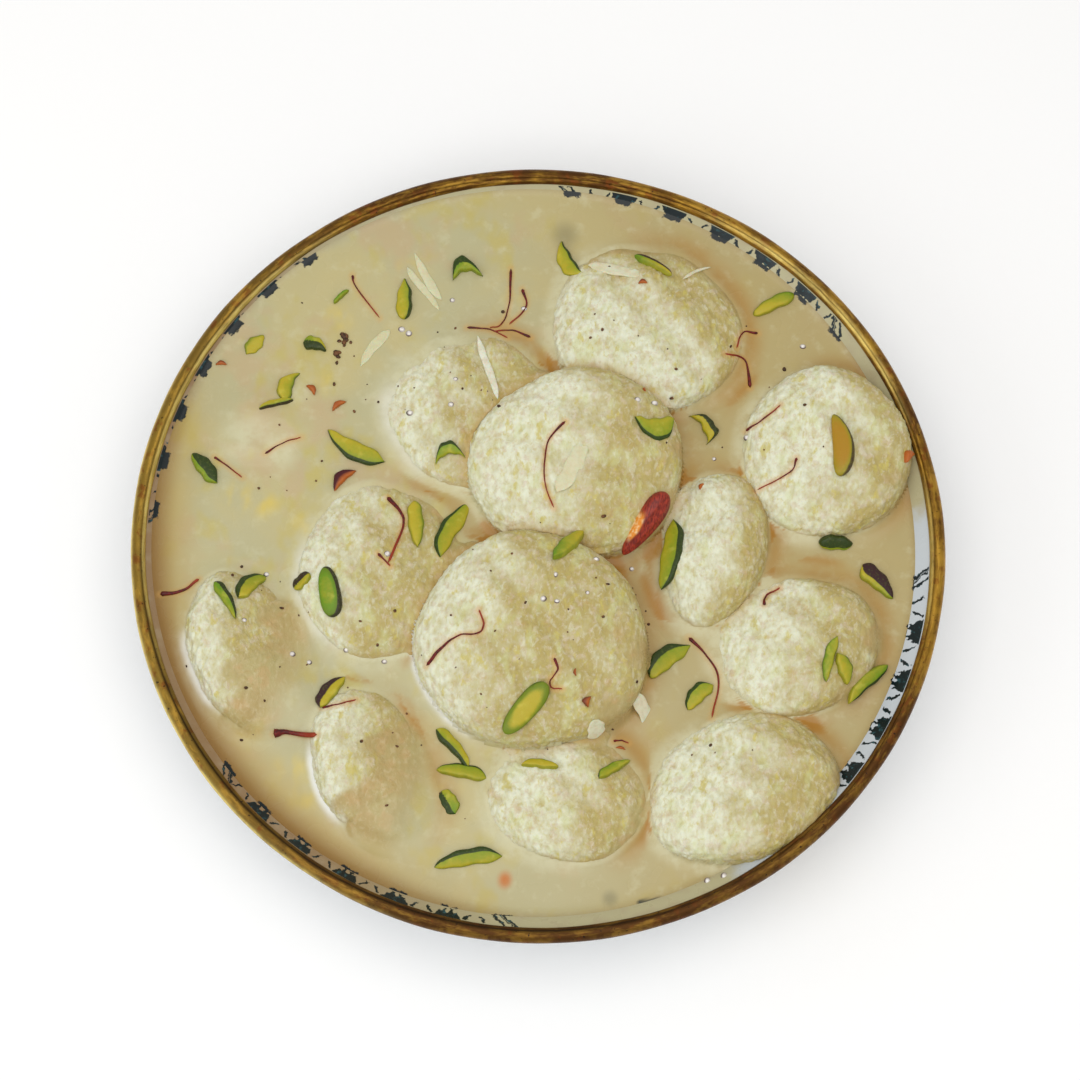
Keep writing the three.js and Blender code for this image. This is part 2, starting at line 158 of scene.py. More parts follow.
# Cut nuts: place, length, width, heading; how green the flesh is, how brown the skin is, on which side the
# skin lies (positive on the bulging side) and how far it comes over, and which end is greener
CUT_SHAPES = {  # thickness, and how far the two edges bulge as shares of the width
    "sliver": (2.2, 1.45, -0.55),
    "oval": (2.6, 1, -1),
    "curl": (3, 2, 0.6),
    "shard": (2.2, 1.9, 0),
    "flake": (1.2, 1, -1),
    "chip": (1.6, 1.1, -0.9),
}
CUT_PISTACHIOS = [
    ("shard", 0.5, 79.5, 11.5, 4.4, 125, 0.25, 0.1, -1, 0),
    ("oval", -41, 65, 11.5, 4, 95, 0.25, 0.0, -1, 0.2),
    ("sliver", -63, 50, 6.5, 3.4, -15, 0.6, 0.2, -1.9, -0.5),
    ("sliver", -50, 22, 17.5, 5, 155, 0.3, 0.1, 1.1, -0.2),
    ("sliver", -23, 2.5, 18.5, 5, 70, 0.35, 0.0, 1.1, 0),
    ("oval", -32, 2, 13, 4, -80, 0.1, 0.0, 0.6, 0),
    ("oval", 7.6, -1.9, 14.8, 4.2, 58, 0.45, 0.0, 0.8, -0.6),
    ("sliver", 34.5, 0.5, 19.5, 5.5, -95, 0.5, 0.1, 1.2, 0.1),
    ("sliver", -78, -23, 12, 2.7, -55, 0.9, 0.3, 1.5, -0.3),
    ("sliver", -73, -18, 11.5, 4.6, 55, 0.45, 0.1, 1.4, 0.4),
    ("sliver", -49.5, -43.5, 11, 4.2, 60, 0.05, 1.0, 1.7, 0),
    ("oval", 56, 73, 12.5, 3.4, 35, 0.1, 0.0, 0.5, 0.8),
    ("oval", 76.5, 8.5, 9, 3.8, 5, 0.9, 0.1, 2.3, 0.2),
    ("oval", 88, -1, 12, 4.5, -45, 0.5, 1.0, 2.2, 0.4),
    ("sliver", 76.5, -24.5, 12.5, 2.7, 80, 0.6, 0.0, 0.8, 0),
    ("sliver", 80.5, -26.5, 8.5, 4, -65, 0.3, 0.0, 0.9, 0),
    ("sliver", 86.5, -28.5, 15, 3.6, 50, 0.6, 0.1, -1.2, 0.3),
    ("sliver", 35.5, -26.5, 14, 5.5, 45, 0.55, 0.1, 1.4, 0.2),
    ("sliver", 44, -35.5, 9.5, 4.3, 50, 0.4, 0.0, 1.2, 0.2),
    ("sliver", -16.7, -55.2, 13, 3, -45, 0.35, 0.1, -1.3, -0.2),
    ("sliver", -14, -61.4, 13, 3.5, -5, 0.5, 0.1, 1.1, 0),
    ("chip", -16.5, -69.5, 7, 4, -55, 0.7, 0.1, -1.6, 0.3),
    ("sliver", -10.5, -83.5, 17.5, 4.2, 15, 0.5, 0.1, 1.3, 0.1),
    ("sliver", 5.5, -58.5, 9.5, 2.5, 0, 0.05, 0.0, 0.5, 0),
    ("sliver", 24, -57.5, 10.5, 2.5, 40, 0.6, 0.0, 0.9, 0),
    ("oval", -88, 13, 10.5, 4.2, -45, 1.0, 0.1, 2.2, 0),
    ("curl", -26, 76, 8, 6, 15, 0.9, 0.0, 1.8, 0),
    ("curl", -25.5, 23, 8, 5, 15, 0.75, 0.1, 1.3, 0),
    ("curl", 41, 37.5, 9, 4.6, -55, 0.0, 0.35, 1.6, -0.2),
    ("shard", 27, 31.5, 11, 6, 190, 0.5, 0.0, 1.1, 0),
    ("shard", -69.5, 37.6, 9.7, 4.2, 75, 0.15, 0.2, -0.8, 0),
    ("sliver", -71.5, 32.2, 9.3, 1.7, 22, 0.2, 0.7, -0.9, 0.2),
    ("sliver", -57.8, 64.1, 5.5, 1.1, 50, 0.9, 0.6, 0.5, 0),
    ("chip", -79, 48.5, 7, 4, 55, 0.0, 0.5, 0.5, 0),
    ("chip", -59.5, -15.5, 6, 3.5, 40, 0.3, 0.8, 1.9, 0),
    ("sliver", 23.5, 79.5, 11.5, 2.4, -28, 0.5, 1.0, 2.0, -0.9),
]
ALMOND_CHIPS = [  # place, length, width, heading, and how dark the chip is
    (-52.5, 14, 8, 4, 50, 1.6), (-55.5, 34, 4.5, 2, 40, 0.2), (-62.5, 37.5, 3.5, 2, -45, 0.3),
    (93, 32, 4.5, 3, 45, 0.0), (-87, 42.5, 3, 1.5, 5, 0.6), (21, 74, 2.5, 1.5, 5, 0.6),
    (15.5, -43, 3, 2.5, 80, 0.7), (12, -36, 2.2, 0.9, 95, 0.4), (23.5, 42.5, 2.4, 1, 85, 0.2),
    (25.5, -51.5, 2.6, 0.9, -5, 0.5), (40.5, 19.5, 2, 1.2, 60, 0.5),
]
FLAKES = [  # place, length, width, heading, and how far it has sunk
    (-17.5, 47, 19.5, 2, -75, 0.0), (6.5, 19.5, 16.5, 4.5, -115, 0.75), (30, -41.5, 13, 4, -40, 0.4),
    (18.5, -48.5, 7, 4.5, -60, 0.3), (14, 77.5, 16, 3.2, -5, 0.5), (-35.5, 72, 15, 2.3, -58, 0.8),
    (-36.5, 68.5, 15, 1.9, -55, 0.8), (-47.5, 50.5, 13, 2.6, 55, 0.9), (35, 79, 10, 0.8, 40, 0.3),
]
NUT_SUNK = 0.4

# Saffron: the points each thread passes over, thick dark head first, then its width
THREADS = [
    ([(-55.5, 70.5), (-54, 67), (-47, 59)], 0.8),
    ([(-14, 76.5), (-13.5, 66.5), (-15, 60.5), (-18, 59)], 0.8),
    ([(-10.5, 71), (-9, 66), (-13, 60.5)], 1.0),
    ([(-24, 58.5), (-18, 58.5), (-13, 56.5)], 0.8),
    ([(-7, 57.5), (-12, 59), (-17, 58)], 0.9),
    ([(52.5, 64.5), (48.5, 64), (47, 59)], 0.9),
    ([(51.5, 49), (49.5, 56.5), (44, 56.5)], 1.1),
    ([(51, 36.5), (54.5, 38.5), (59.5, 43)], 0.9),
    ([(64.5, 28.5), (63, 24.5), (55, 20)], 0.8),
    ([(4, 30.5), (0, 25), (0, 15), (3, 8)], 0.8),
    ([(-40, 9), (-36.2, 5), (-35.2, 1), (-38, -9.5)], 1.4),
    ([(-40.8, -7.2), (-37.3, -10.2)], 1.0),
    ([(-25.5, -36.5), (-22, -32), (-18, -28.8), (-13.3, -28), (-12, -25.5), (-13.6, -21.7)], 1.0),
    ([(6.5, -33), (7.7, -35.9), (6.1, -38.8), (6.7, -40.5), (9.3, -40.6)], 0.8),
    ([(40.5, -20.5), (45, -24.5), (49, -31), (48, -41.5)], 1.1),
    ([(-86, 16.5), (-82.5, 14.5), (-78, 11.5)], 0.8),
    ([(-95.5, -22), (-90, -20.5), (-86, -17)], 1.6),
    ([(-62.5, -56.3), (-59, -55.5), (-51.5, -56)], 2.9),
    ([(-51, -48.5), (-47, -47.5), (-42.5, -45.5)], 0.8),
    ([(-73, 18.5), (-68.5, 22), (-64, 24)], 0.7),
    ([(59, -11), (59.5, -8), (63, -5.5)], 1.0),
    ([(23.5, -50), (25.5, -49.5), (27.5, -50)], 0.8),
]

# Cardamom specks that stand out, and the tiny bubbles
SPECKS = [
    (-6.5, -6), (-11.5, -11), (-2, -19), (9, -20), (18.5, -12), (25, -9), (29, -14.5), (30, -18),
    (-18, -37), (-9, -27), (-11, -43.5), (7, -54), (23, -47), (16, 7), (-25, -55.5), (-20.5, -23.5),
    (8.5, 56.5), (12, 78), (31.5, 50), (45.5, 59), (31, 42.5), (-18.5, 40), (-15, 64), (-27, 58),
    (-31.5, 56.5), (-36, 39.5), (-23.5, 40), (-13.5, 34.5), (-45, 35.5), (-51, 32.5), (-57, 39.5),
    (-70, 26.5), (65.5, 42.5), (56, 30.5), (71, 31.5), (30.5, 28), (-73.5, 9), (-59, 12.5), (-58, 18),
    (-77.5, -15.5), (-75.5, -12.5), (-86.5, -40.5), (-70.5, -46), (-65.5, -48.5), (-29.5, -47.5),
    (-32, -73), (-70.5, -58.5), (-35, -22), (-38.5, -31), (-43.5, -25.5), (-64, -23), (-59.5, -24.5),
    (-40, -57), (48, -49.5), (43.5, -52.5), (-19, -67.5), (-13.5, -82), (-55.5, 50.5), (-57, 45.5),
    (-54, 51.5), (60, 55), (-31, -57), (18, -21), (28, -36), (11.5, 59),
]
CLUMPS = [(-56.1, 52.6, 2.6, 6), (-57.3, 47.8, 1.8, 4)]  # larger seeds: place, spread and number
FINE_SPREAD = 7
FINE_WITHIN = 92
BUBBLES = [
    (15, -5), (5, -11), (2.5, -17.5), (6, -18), (13.5, -15), (24.5, -3.5), (-25.5, 42.5), (-26, 35.5),
    (-36.5, 32.5), (-41, 56.5), (-39, 55.5), (-9.5, 65.5), (-28.5, 66), (26.5, 38.5), (22, 38.5), (64.5, 62),
    (43.5, 28.5), (51.5, 34.5), (-46.5, -32.5), (-36.5, -34.5), (-60, -35), (-55.5, -36.5), (-69, -14),
    (-73, -28), (-38.5, -7), (-47.5, -40), (50, -84), (54, -82.5),
]
# Where saffron has run into the milk or soaked into the cheese: place and reach
STREAKS = [
    (-78, 6, 7), (-71, 5, 6), (-57, -66, 8), (-53, -73, 7), (-70, -56, 6), (-12, 68, 5), (-40, 73, 6),
    (-58, 58, 6), (-60, 40, 6), (28, -34, 7), (-17, -64, 6), (40, 16, 8), (-24, 2, 9), (52, 22, 6),
    (-60, 0, 6),
]
# Whitish cheese just under the milk, and paint of the border that shows through it: place and reach
HAZES = [(-79, 23, 9), (-69, 19, 7), (-66, 37, 6)]
GHOSTS = [(-0.5, 87.4, 5.5), (26, -90.5, 3)]
LONE_MARK = ((33.5, -91), (41.5, -89.3), 1.0)
ORANGE_SPOT = (-0.7, -88.2, 2.6)

AIM = (0.264, 1.084, 28)  # what the camera looks at


def linear(red, green, blue):
    """A colour given in 0 to 255 as Blender's linear values."""
    return tuple(
        c / 12.92 if c <= 0.04045 else ((c + 0.055) / 1.055) ** 2.4
        for c in (red / 255, green / 255, blue / 255)
    )


def colour_property(name, description, *rgb):
    return FloatVectorProperty(
        name=name, description=description, default=linear(*rgb), subtype="COLOR", size=3, min=0, max=1
    )


def length_property(name, description, millimetres):
    return FloatProperty(name=name, description=description, default=millimetres * MM, unit="LENGTH", min=0)


def angle_property(name, description, angle):
    return FloatProperty(name=name, description=description, default=angle, subtype="ANGLE", unit="ROTATION")


def power_property(name, description, watts):
    return FloatProperty(name=name, description=description, default=watts, unit="POWER")


class BowlSettings(bpy.types.PropertyGroup):
    band_radius: length_property("Band radius", "Half the thickness of the brass band", 2.08)
    lip_thickness: length_property("Lip thickness", "Thickness of the glazed lip", 2 * LIP_HALF)
    group_centre: angle_property("First group", "Angle at which a painted group is centred", GROUP_CENTRE)
    glaze: colour_property("Glaze", "Colour of the glaze", 198, 205, 211)
    paint: colour_property("Paint", "Colour of the painted border", 5, 24, 28)
    brass: colour_property("Brass", "Colour of the polished brass", 176, 134, 42)
    patina: colour_property("Patina", "Colour of the brown patina", 86, 52, 12)


class MilkSettings(bpy.types.PropertyGroup):
    level: length_property("Level", "Height of the milk", 25)
    climb: length_property("Climb", "How far the milk climbs what stands in it", 0.6)
    cream: colour_property("Milk", "Colour of the milk", 192, 180, 130)
    pale: colour_property("Thin milk", "Colour of milk over sunk cheese", 208, 204, 168)
    saffron: colour_property("Saffron streak", "Colour where saffron has run", 210, 188, 96)
    # amber also stands for painted shade, in the narrow gaps between discs
    amber: colour_property("Amber", "Colour of the milk deep between discs", 168, 118, 36)


class CheeseSettings(bpy.types.PropertyGroup):
    curd: length_property("Curd", "Width of one curd", 1.5)
    curd_depth: length_property("Curd depth", "Depth of the furrows between curds", 0.4)
    lump: length_property("Lump", "Width of the broad unevenness", 7)
    lump_depth: length_property("Lump depth", "Depth of the broad unevenness", 0.8)
    # white also stands for painted light, on the curd's faces turned to the left
    white: colour_property("Curd colour", "Colour of the bare curd", 224, 226, 202)
    cream: colour_property("Cream", "Colour of soaked curd", 180, 163, 102)
    tan: colour_property("Tan", "Colour of the milk film on the curd", 178, 156, 102)


class ToppingSettings(bpy.types.PropertyGroup):
    flesh: colour_property("Yellow flesh", "Colour of the ripe pistachio flesh", 180, 164, 40)
    green: colour_property("Green flesh", "Colour of the outer pistachio flesh", 104, 140, 24)
    skin: colour_property("Pistachio skin", "Colour of the green skin", 44, 64, 14)
    brown_skin: colour_property("Brown skin", "Colour of the dry skin", 58, 34, 34)
    almond: colour_property("Almond skin", "Colour of the almond skin", 112, 30, 20)
    saffron: colour_property("Saffron", "Colour of the dried threads", 112, 16, 10)
    specks: IntProperty(name="Fine specks", description="Number of fine specks", default=46, min=0)
    seed: IntProperty(name="Seed", description="Seed of the scattered specks", default=7)


class StageSettings(bpy.types.PropertyGroup):
    elevation: angle_property("Elevation", "Camera angle above the horizon", math.radians(72.04))
    roll: angle_property("Roll", "Turn of the camera about its own axis", math.radians(5.25))
    distance: length_property("Distance", "From the camera to the bowl", 1000)
    lens: FloatProperty(name="Lens", description="Focal length", default=129.38, unit="CAMERA", min=1)
    key: power_property("Key light", "Power of the soft key light", 0.95)
    top: power_property("Top light", "Power of the overhead light", 3.66)


SETTINGS = {
    "rasmalai_bowl": BowlSettings,
    "rasmalai_milk": MilkSettings,
    "rasmalai_cheese": CheeseSettings,
    "rasmalai_toppings": ToppingSettings,
    "rasmalai_stage": StageSettings,
}


# Working on one object at a time

def mode(name):
    bpy.ops.object.mode_set(mode=name)


def clear_selection():
    if bpy.context.object and bpy.context.object.mode != "OBJECT":
        mode("OBJECT")
    bpy.ops.object.select_all(action="DESELECT")


def only(obj):
    """Select this object alone and make it active, in object mode."""
    clear_selection()
    obj.select_set(True)
    bpy.context.view_layer.objects.active = obj


def added(name):
    """The object that an operator has just added, under its own name."""
    obj = bpy.context.object
    obj.name = name
    obj.data.name = name
    return obj


def ball(name, detail):
    clear_selection()
    bpy.ops.mesh.primitive_ico_sphere_add(subdivisions=detail, radius=1)
    return added(name)


def copy_of(obj, name):
    copy = obj.copy()
    copy.data = obj.data.copy()
    copy.name = name
    bpy.context.scene.collection.objects.link(copy)
    return copy


def read_points(obj):
    """The places of a mesh's vertices, in mm."""
    flat = np.empty(len(obj.data.vertices) * 3)
    obj.data.vertices.foreach_get("co", flat)
    return flat.reshape(-1, 3) / MM


def write_points(obj, points):
    obj.data.vertices.foreach_set("co", (np.asarray(points) * MM).ravel())
    obj.data.update()


def read_normals(obj):
    flat = np.empty(len(obj.data.vertices) * 3)
    obj.data.vertices.foreach_get("normal", flat)
    return flat.reshape(-1, 3)


def write_values(obj, **values):
    """Stores numbers that the materials read, one for each vertex or the same for them all."""
    for name, value in values.items():
        attribute = obj.data.attributes.get(name) or obj.data.attributes.new(name, "FLOAT", "POINT")
        each = np.empty(len(obj.data.vertices), dtype=np.float32)
        each[:] = value
        attribute.data.foreach_set("value", each)


def select_vertices(obj, chosen):
    """Edit mode on this object with only the chosen vertices selected."""
    only(obj)
    mode("EDIT")
    bpy.ops.mesh.select_mode(type="VERT")
    bpy.ops.mesh.select_all(action="DESELECT")
    mode("OBJECT")
    obj.data.vertices.foreach_set("select", chosen)
    mode("EDIT")


def with_modifier(obj, kind, **settings):
    """Gives the object a modifier and applies it."""
    only(obj)
    modifier = obj.modifiers.new(kind.title(), kind)
    for key, value in settings.items():
        setattr(modifier, key, value)
    bpy.ops.object.modifier_apply(modifier=modifier.name)


def joined(objects, name):
    only(objects[0])
    for obj in objects[1:]:
        obj.select_set(True)
    if len(objects) > 1:
        bpy.ops.object.join()
    return added(name)


def closed_outwards(obj):
    """Merges doubled vertices and turns every face outwards."""
    only(obj)
    mode("EDIT")
    bpy.ops.mesh.select_all(action="SELECT")
    bpy.ops.mesh.remove_doubles(threshold=1e-6)
    bpy.ops.mesh.normals_make_consistent(inside=False)
    mode("OBJECT")


def settle(obj, material, slot, *nodes):
    """Finishes a piece: smooth shading, its material, and what it stands for."""
    only(obj)
    bpy.ops.object.shade_smooth()
    obj.data.materials.clear()
    obj.data.materials.append(material)
    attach(obj, "root")
    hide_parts(*nodes)


# Shapes shared with the CAD model, in mm

def smoothstep(value, low, high):
    share = np.clip((np.asarray(value, dtype=float) - low) / (high - low), 0, 1)
    return share * share * (3 - 2 * share)


def facing(angle, toward, low, high):
    """How squarely places at these angles face a direction in degrees, eased between two cosines."""
    return smoothstep(np.cos(angle - math.radians(toward)), low, high)


def hump(value, middle, width):
    return np.exp(-(((value - middle) / width) ** 2))


def spots(x, y, places, inner=0.0):
    """How near each point is to the nearest of some spots: 1 at its middle, 0 at its reach."""
    result = np.zeros(len(x))
    for at_x, at_y, reach in places:
        result = np.maximum(result, smoothstep(np.hypot(x - at_x, y - at_y), reach, inner))
    return result


def lean_at(x, y):
    """How far the bowl's lean lifts a point."""
    share = smoothstep(np.hypot(x, y), LEAN_START, BAND_CENTRE[0])
    return LEAN * share * (x * math.cos(LEAN_TOWARD) + y * math.sin(LEAN_TOWARD)) / BAND_CENTRE[0]


def beside_band(along, across):
    radius, height = BAND_CENTRE
    return (
        radius + along * math.cos(LIP_SLOPE) - across * math.sin(LIP_SLOPE),
        height + along * math.sin(LIP_SLOPE) + across * math.cos(LIP_SLOPE),
    )


INSIDE = [
    (0, 7.2), (66, 7.7), (79, 10), (86.5, 13.6), (91.5, 18), (95.6, 22.9),
    beside_band(-LIP_VISIBLE, LIP_HALF),
]
OUTSIDE = [beside_band(-LIP_VISIBLE, -LIP_HALF), (97, 18.4), (90.8, 11.4), (80, 6), (62, 3.6), (56.5, 3.2)]
FOOT = [(55.2, 2.6), (55, 0.7), (54.3, 0), (50.7, 0), (50, 0.6), (49.3, 2.2), (48, 2.6), (30, 2.6), (0, 2.6)]


def eased(points, steps):
    """A smooth route through points, with this many steps between each pair."""
    points = np.asarray(points, dtype=float)
    ends = np.vstack([2 * points[0] - points[1], points, 2 * points[-1] - points[-2]])
    route = []
    for i in range(1, len(ends) - 2):
        before, start, end, after = ends[i - 1:i + 3]
        for t in np.arange(steps) / steps:
            route.append(0.5 * (
                2 * start + (end - before) * t + (2 * before - 5 * start + 4 * end - after) * t * t
                + (3 * start - before - 3 * end + after) * t ** 3
            ))
    return np.array(route + [points[-1]])


def wall_radius(height):
    """The radius of the bowl's inside at a height, before the lean."""
    wall = eased(INSIDE, 8)
    return np.interp(height, wall[:, 1], wall[:, 0])


def outline_share(angle, seed):
    return (
        0.03 * np.sin(2 * angle + 1.7 * seed) + 0.022 * np.sin(3 * angle + 2.9 * seed)
        + 0.013 * np.sin(5 * angle + 4.1 * seed)
    )


def face_roll(x, y, seed):
    return (
        0.45 * np.sin(x / 4.1 + seed) * np.cos(y / 3.7 + 1.3 * seed)
        + 0.3 * np.sin((x + y) / 2.7 + 2 * seed)
    )


def disc_frame(row):
    """The matrix that lays a disc in its place, in mm."""
    down = math.radians(row["down"])
    axis = Vector((-math.sin(down), math.cos(down), 0))
    return (
        Matrix.Translation(row["at"])
        @ Matrix.Rotation(math.radians(row["tilt"]), 4, axis)
        @ Matrix.Rotation(math.radians(row["heading"]), 4, "Z")
    )


def moved(points, matrix):
    matrix = np.array(matrix)
    return points @ matrix[:3, :3].T + matrix[:3, 3]


def disc_form(directions, row, seed):
    """Unit directions as points of a flattened, round-edged disc about its own middle."""
    x, y, z = directions.T
    angle = np.arctan2(y, x)
    out = np.hypot(x, y) ** DISC_ROUNDNESS
    up = np.sign(z) * np.abs(z) ** DISC_ROUNDNESS
    share = 1 + outline_share(angle, seed)
    px = np.cos(angle) * out * row["a"] * share
    py = np.sin(angle) * out * row["b"] * share
    pz = up * row["thick"] / 2 + smoothstep(up, 0, 1) * face_roll(px, py, seed)
    return np.column_stack([px, py, pz])


def pressed_under(points, row, seed, clearance):
    """Points that lie inside an upper disc are pressed down to its underside."""
    frame_matrix = disc_frame(row)
    local = moved(points, frame_matrix.inverted())
    angle = np.arctan2(local[:, 1], local[:, 0])
    share = 1 + outline_share(angle, seed)
    power = 2 / DISC_ROUNDNESS
    rim = np.hypot(
        local[:, 0] / (row["a"] * share + clearance), local[:, 1] / (row["b"] * share + clearance)
    ) ** power
    half = row["thick"] / 2 + clearance
    under = half * np.clip(1 - rim, 0, 1) ** (1 / power)
    inside = (rim < 1) & (np.abs(local[:, 2]) < under)
    local[inside, 2] = -under[inside]
    result = points.copy()
    result[inside] = moved(local[inside], frame_matrix)
    return result


def tree_of(objects):
    """One search tree of the triangles of several objects, in mm."""
    points, triangles = [], []
    for obj in objects:
        corners = np.empty(len(obj.data.loop_triangles) * 3, dtype=np.int32)
        obj.data.loop_triangles.foreach_get("vertices", corners)
        triangles.append(corners.reshape(-1, 3) + sum(len(part) for part in points))
        points.append(read_points(obj))
    return BVHTree.FromPolygons(np.vstack(points).tolist(), np.vstack(triangles).tolist(), all_triangles=True)


class Surface:
    """What can be lain on, seen from above."""

    def __init__(self, names):
        self.tree = tree_of([bpy.data.objects[name] for name in names])

    def height(self, x, y):
        """The height of the highest surface at a place, or None."""
        hit = self.tree.ray_cast((x, y, 80), (0, 0, -1))[0]
        return hit.z if hit else None

    def enclosure(self, place, reach):
        """How narrow the gap is that a place lies in, from 0 in the open to 1; both sides count alike."""
        half = 5
        shares = []
        for turn in range(2 * half):
            angle = math.pi * turn / half
            hit = self.tree.ray_cast(place, (math.cos(angle), math.sin(angle), 0.3), reach)
            shares.append(1 - hit[3] / reach if hit[0] else 0)
        return sum(min(shares[i], shares[i + half]) for i in range(half)) / half

    def laid(self, x, y, heading, reach):
        """The frame of something of this size laid flat at a place."""
        around = [
            Vector((x + reach * math.cos(turn), y + reach * math.sin(turn)))
            for turn in np.linspace(0, 2 * math.pi, 8, endpoint=False)
        ]
        spots = [Vector((p.x, p.y, self.height(p.x, p.y))) for p in around]
        middle = sum(spots, Vector()) / len(spots)
        normal = Vector()
        for i, spot in enumerate(spots):
            normal += (spot - middle).cross(spots[(i + 1) % len(spots)] - middle)
        upright = Vector((0, 0, 1)).rotation_difference(normal.normalized()).to_matrix().to_4x4()
        centre = self.height(x, y)
        place = Vector((x, y, 0.5 * (middle.z + centre)))
        return Matrix.Translation(place) @ upright @ Matrix.Rotation(math.radians(heading), 4, "Z")

    def lay(self, points, x, y, heading, length, roll=0.0):
        """Points of something flat, moved to where it lies and rolled about its length; angles in degrees."""
        turned = Matrix.Rotation(math.radians(roll), 4, "X")
        return moved(points, self.laid(x, y, heading, 0.3 * length) @ turned)


# Materials

class Reading:
    """What a node gives. A sum of readings and numbers adds the nodes that work it out."""

    def __init__(self, finish, socket):
        self.finish = finish
        self.socket = socket

    def __add__(self, other):
        return self.finish.sum("ADD", self, other)

    def __sub__(self, other):
        return self.finish.sum("SUBTRACT", self, other)

    def __mul__(self, other):
        return self.finish.sum("MULTIPLY", self, other)

    def __truediv__(self, other):
        return self.finish.sum("DIVIDE", self, other)

    def __mod__(self, other):
        return self.finish.sum("FLOORED_MODULO", self, other)

    def __abs__(self):
        return self.finish.sum("ABSOLUTE", self)


class Finish:
    """A material built up from nodes that read places on the piece and the piece's own values."""

    def __init__(self, name, constants):
        self.material = bpy.data.materials.new(name)
        self.material.use_nodes = True
        self.nodes = self.material.node_tree.nodes
        self.links = self.material.node_tree.links
        self.shader = self.nodes["Principled BSDF"]
        for key, value in constants.items():
            self.shader.inputs[key].default_value = value
        self.place = self.node("TexCoord", {}, output="Object")

    def put(self, socket, value):
        if isinstance(value, Reading):
            self.links.new(value.socket, socket)
        elif socket.type == "RGBA":
            socket.default_value = (*value[:3], 1)
        else:
            socket.default_value = value

    def node(self, kind, inputs, output=0, **settings):
        node = self.nodes.new("ShaderNode" + kind)
        for key, value in settings.items():
            setattr(node, key, value)
        for key, value in inputs.items():
            self.put(node.inputs[key], value)
        return Reading(self, node.outputs[output])

    def sum(self, operation, *values, clamp=False):
        return self.node("Math", dict(enumerate(values)), operation=operation, use_clamp=clamp)

    def value(self, name):
        return self.node("Attribute", {}, output="Fac", attribute_name=name)

    def axes(self):
        return [self.node("SeparateXYZ", {0: self.place}, output=axis) for axis in (0, 1, 2)]

    def stretched(self, factors, turn=0.0):
        return self.node("Mapping", {"Vector": self.place, "Scale": factors, "Rotation": (0, 0, turn)})

    def noise(self, size, detail=2.0, roughness=0.5, place=None, distortion=0.0):
        """Cloudy noise whose blots are about this many mm across."""
        inputs = {
            "Vector": place or self.place, "Scale": 1 / (size * MM), "Detail": detail,
            "Roughness": roughness, "Distortion": distortion,
        }
        return self.node("TexNoise", inputs)

    def fade(self, value, low, high, start=0.0, end=1.0):
        inputs = {"Value": value, "From Min": low, "From Max": high, "To Min": start, "To Max": end}
        return self.node("MapRange", inputs, interpolation_type="SMOOTHSTEP")

    def mix(self, share, first, second):
        return self.node("Mix", {0: share, 6: first, 7: second}, output=2, data_type="RGBA")

    def tinted(self, colour, tint, cloud, low, high, share=1.0):
        """The colour, with a tint where a cloudy value runs from low to high."""
        return self.mix(self.fade(cloud, low, high, 0, share), colour, tint)

    def marked(self, colour, **tints):
        """The colour, with tints laid over it one by one where the piece's own values say."""
        for name, tint in tints.items():
            colour = self.mix(self.value(name), colour, tint)
        return colour

    def bump(self, height, strength, depth, under=None):
        inputs = {"Height": height, "Strength": strength, "Distance": depth * MM}
        if under:
            inputs["Normal"] = under
        return self.node("Bump", inputs)

    def done(self, colour, roughness=None, normal=None):
        self.put(self.shader.inputs["Base Color"], colour)
        if roughness is not None:
            self.put(self.shader.inputs["Roughness"], roughness)
        if normal is not None:
            self.put(self.shader.inputs["Normal"], normal)
        return self.material


def painted_border(finish, centre):
    """Where the border is painted, from 0 to 1: groups of motifs that hang from the band, with dashes
    between them and hatching at both ends of a group. Along, far and drop are in mm."""
    x, y, _ = finish.axes()
    angle = finish.sum("ARCTAN2", y, x)
    cell = ((angle - (centre - math.pi / 4)) % (math.pi / 2) - math.pi / 4) / MOTIF_ANGLE
    number = finish.sum("ROUND", cell)
    along = (cell - number) * MOTIF_PITCH + (finish.noise(1.9, 3, 0.6) - 0.5) * 2.6
    drop = (finish.noise(1.3, 2) - 0.5) * 2.2 + finish.value("drop")
    far = abs(along)

    def inside(distance, soft=0.14):
        return finish.fade(distance, soft, -soft)

    def beyond_petal(at, down, wide, tall):
        across = (far - at) / wide
        below = (drop - down) / tall
        return finish.fade(across * across + below * below, 0.7, 1.3)

    bell = inside(far + drop * 0.4 - 3.5) * inside(drop - 3.5)
    motif = bell * beyond_petal(0.0, 2.9, 0.7, 0.8) * beyond_petal(1.9, 3.0, 0.5, 0.6)
    dashes = inside(abs(far - drop * 0.5 - 4.2) - 0.4, 0.1) * inside(abs(drop - 1.6) - 1.2)
    leaning = along - 2.2 + drop * 0.8
    hatch = 0.0
    for place, half in ((-1.3, 0.5), (0.6, 0.22), (1.5, 0.5)):
        hatch = finish.sum("MAXIMUM", inside(abs(leaning - place) - half), hatch)
    at_end = finish.sum("GREATER_THAN", abs(number), 2.5)
    in_group = finish.sum("LESS_THAN", abs(number), 3.5)
    dashed = finish.sum("LESS_THAN", abs(cell), 3.0)
    painted = motif + (hatch - motif) * at_end
    return finish.sum("MAXIMUM", painted * in_group, dashes * dashed)


def border_through_milk(x, y, from_wall):
    """How far inside the border's motifs each place in the thin milk at the wall lies, in mm."""
    turned = (np.arctan2(y, x) - GROUP_CENTRE + math.pi / 4) % (math.pi / 2) - math.pi / 4
    cell = turned / MOTIF_ANGLE
    number = np.rint(cell)
    far = np.abs(cell - number) * MOTIF_PITCH
    reach = 1.5 - lean_at(x, y)
    inside = np.minimum(2.5 - far, 0.62 * reach - from_wall)
    return np.where(np.abs(number) < 3.5, inside, np.minimum(inside, -1))


